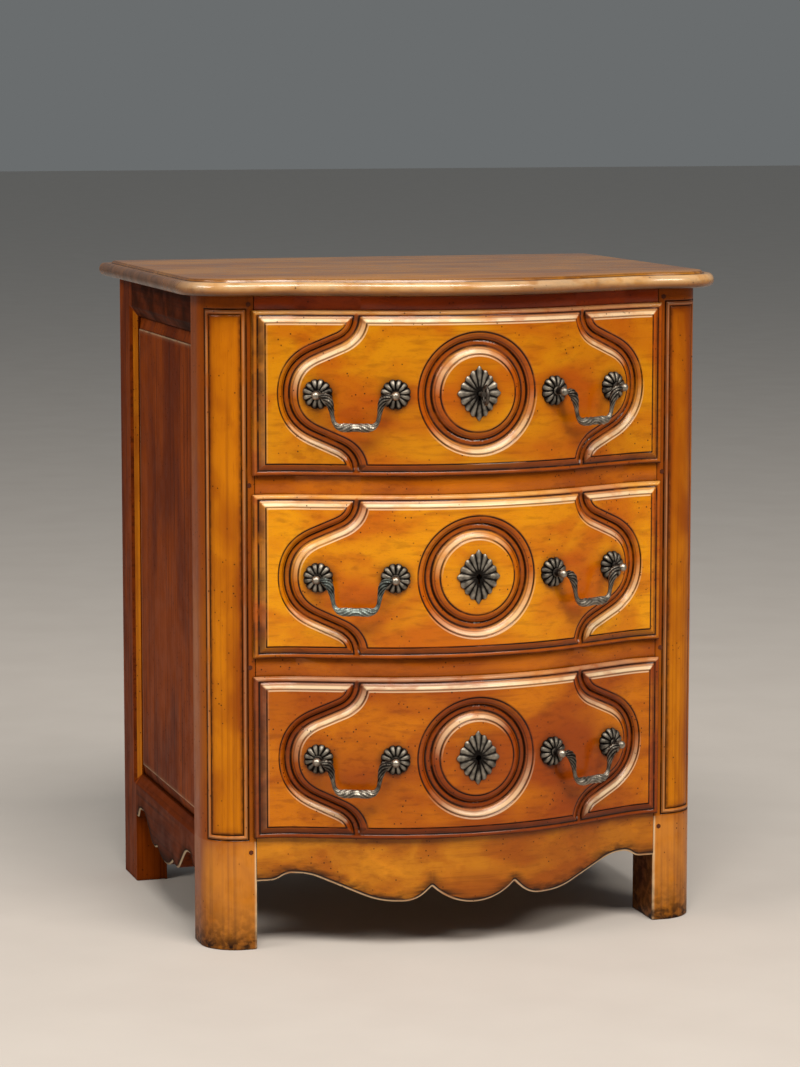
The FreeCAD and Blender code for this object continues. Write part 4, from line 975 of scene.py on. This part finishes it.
def key_parts():
    """Nets of the ring and of the shank."""
    turn = circle(40)[:, None]
    wire = circle(12)
    thick = KEY_WIRE * (1 + 0.25 * np.cos(turn + math.pi))
    deep = KEY_RING_DEPTH / 2 - thick + thick * np.cos(wire)
    tall = KEY_RING_HEIGHT / 2 - thick + thick * np.cos(wire)
    middle = KEY_RING_DEPTH / 2 - KEY_FRONT
    ring = np.dstack([thick * np.sin(wire), middle + deep * np.cos(turn), tall * np.sin(turn)])
    start = KEY_RING_DEPTH - KEY_FRONT - 3.0
    profile = [(KEY_BEAD, start), (KEY_COLLAR, start + 2.0), (KEY_BEAD, start + 4.0),
               (KEY_SHANK, start + 5.0), (KEY_SHANK, start + 9.0), (KEY_BEAD + 0.1, start + 10.0),
               (KEY_SHANK, start + 11.0), (KEY_SHANK, KEY_END)]
    radius, y = np.array(profile).T[..., None]
    shank = np.dstack([radius * np.cos(wire), y + 0 * wire, radius * np.sin(wire)])
    return ring, shank


ring, shank = key_parts()
ring_count, shank_count = (part.shape[0] * part.shape[1] for part in (ring, shank))
faces = [[i % ring_count for i in face] for face in net(len(ring) + 1, ring.shape[1], True)]
faces += capped(*shank.shape[:2], ring_count)
outline = [(KEY_BIT_FRONT, -KEY_BIT_ROOT), (KEY_BIT_FRONT, -KEY_BIT), (KEY_END, -KEY_BIT),
           (KEY_END, -KEY_BIT_ROOT)]
bit, bit_faces = prism(outline, -KEY_BIT_WIDTH / 2, KEY_BIT_WIDTH / 2, ring_count + shank_count)
points = np.concatenate([ring.reshape(-1, 3), shank.reshape(-1, 3), np.array(bit)])
shape = (points, faces + bit_faces, {"crest": np.full(len(points), 0.5)})
# iron that a hand keeps from rust, nearly black
key_iron = metal("worn_key_iron", "#1E1B19", "#6E6861", 0.42, 0.2)
piece("forged_drawer_key", shape, key_iron, "drawer_key", 40, "key", KEY_HEIGHT)


# Studio: a dull pale floor, one wide soft light high in front, a weak one from either side,
# and a grey surround.

FLOOR_REACH = 40.0
floor_mesh = bpy.data.meshes.new("studio_floor")
corners = [(x * FLOOR_REACH, y * FLOOR_REACH, 0) for x, y in ((-1, -1), (1, -1), (1, 1), (-1, 1))]
floor_mesh.from_pydata(corners, [], [[0, 1, 2, 3]])
floor = bpy.data.objects.new("studio_floor", floor_mesh)
bpy.context.scene.collection.objects.link(floor)
# dull pale plaster
plaster, tree, shader, place = blank("pale_studio_floor")
speckle = add(tree, "TexNoise", {"Scale": 6.0, "Detail": 4.0}, {"Vector": place})
settings = {"data_type": "RGBA", 6: linear("#B3AEA9"), 7: linear("#AAA49F")}
tone = add(tree, "Mix", settings, {0: speckle}, 2)
feed(tree, shader, {"Roughness": 0.9}, {"Base Color": tone})
floor_mesh.materials.append(plaster)


def soft_light(name, place, target, size, power, colour):
    """A wide light at a place, turned to a target."""
    lamp = bpy.data.lights.new(name, "AREA")
    lamp.shape = "RECTANGLE"
    lamp.size, lamp.size_y = size
    lamp.energy = power
    lamp.color = linear(colour)[:3]
    holder = bpy.data.objects.new(name, lamp)
    bpy.context.scene.collection.objects.link(holder)
    holder.location = place
    heading = holder.location - type(holder.location)(target)
    holder.rotation_euler = heading.to_track_quat("Z", "Y").to_euler()


soft_light("sky_window", (-0.6, -4.9, 7.4), (0, -0.2, 0.45), (4.8, 3.2), 900, "#FFF8EE")
soft_light("side_sky", (-3.4, -1.0, 2.8), (-0.1, -0.1, 0.5), (1.8, 1.1), 75, "#FFF6EA")
soft_light("right_sky", (1.9, -3.5, 3.2), (0, 0, 0.4), (1.5, 1.0), 90, "#FFF4E6")

# the surround is a plain grey behind the chest, brighter overhead and dimmer in front of it
BACKDROP = "#6A6D6E"
world = bpy.data.worlds.new("grey_studio")
world.use_nodes = True
bpy.context.scene.world = world
tree = world.node_tree
heading = add(tree, "TexCoord", output="Generated")
shares = []
for axis, low, high, most in (("Z", 0.05, 1.0, 1.2), ("Y", 0.15, -0.8, -0.7)):
    part = add(tree, "SeparateXYZ", {}, {0: heading}, axis)
    settings = {"From Min": low, "From Max": high, "To Min": 0.0, "To Max": most}
    shares.append(add(tree, "MapRange", settings, {"Value": part}))
strength = add(tree, "Math", {"operation": "ADD"}, {0: shares[0], 1: shares[1]})
strength = add(tree, "Math", {"operation": "ADD", 1: 1.0}, {0: strength})
feed(tree, tree.nodes["Background"], {"Color": linear(BACKDROP)}, {"Strength": strength})

# the camera stands and looks as in the photograph
CAMERA_HEADING, CAMERA_PITCH = -16.792, -7.408
camera_data = bpy.data.cameras.new("photo_view")
camera_data.sensor_fit = "VERTICAL"
camera_data.sensor_height = 36.0
camera_data.lens = 117.46
camera_data.clip_end = 100.0
camera = bpy.data.objects.new("photo_view", camera_data)
camera.location = (-1.4185, -4.6270, 1.1567)
camera.rotation_euler = (math.radians(90 + CAMERA_PITCH), 0, math.radians(CAMERA_HEADING))
bpy.context.scene.collection.objects.link(camera)
bpy.context.scene.camera = camera
bpy.context.scene.view_settings.view_transform = "Standard"
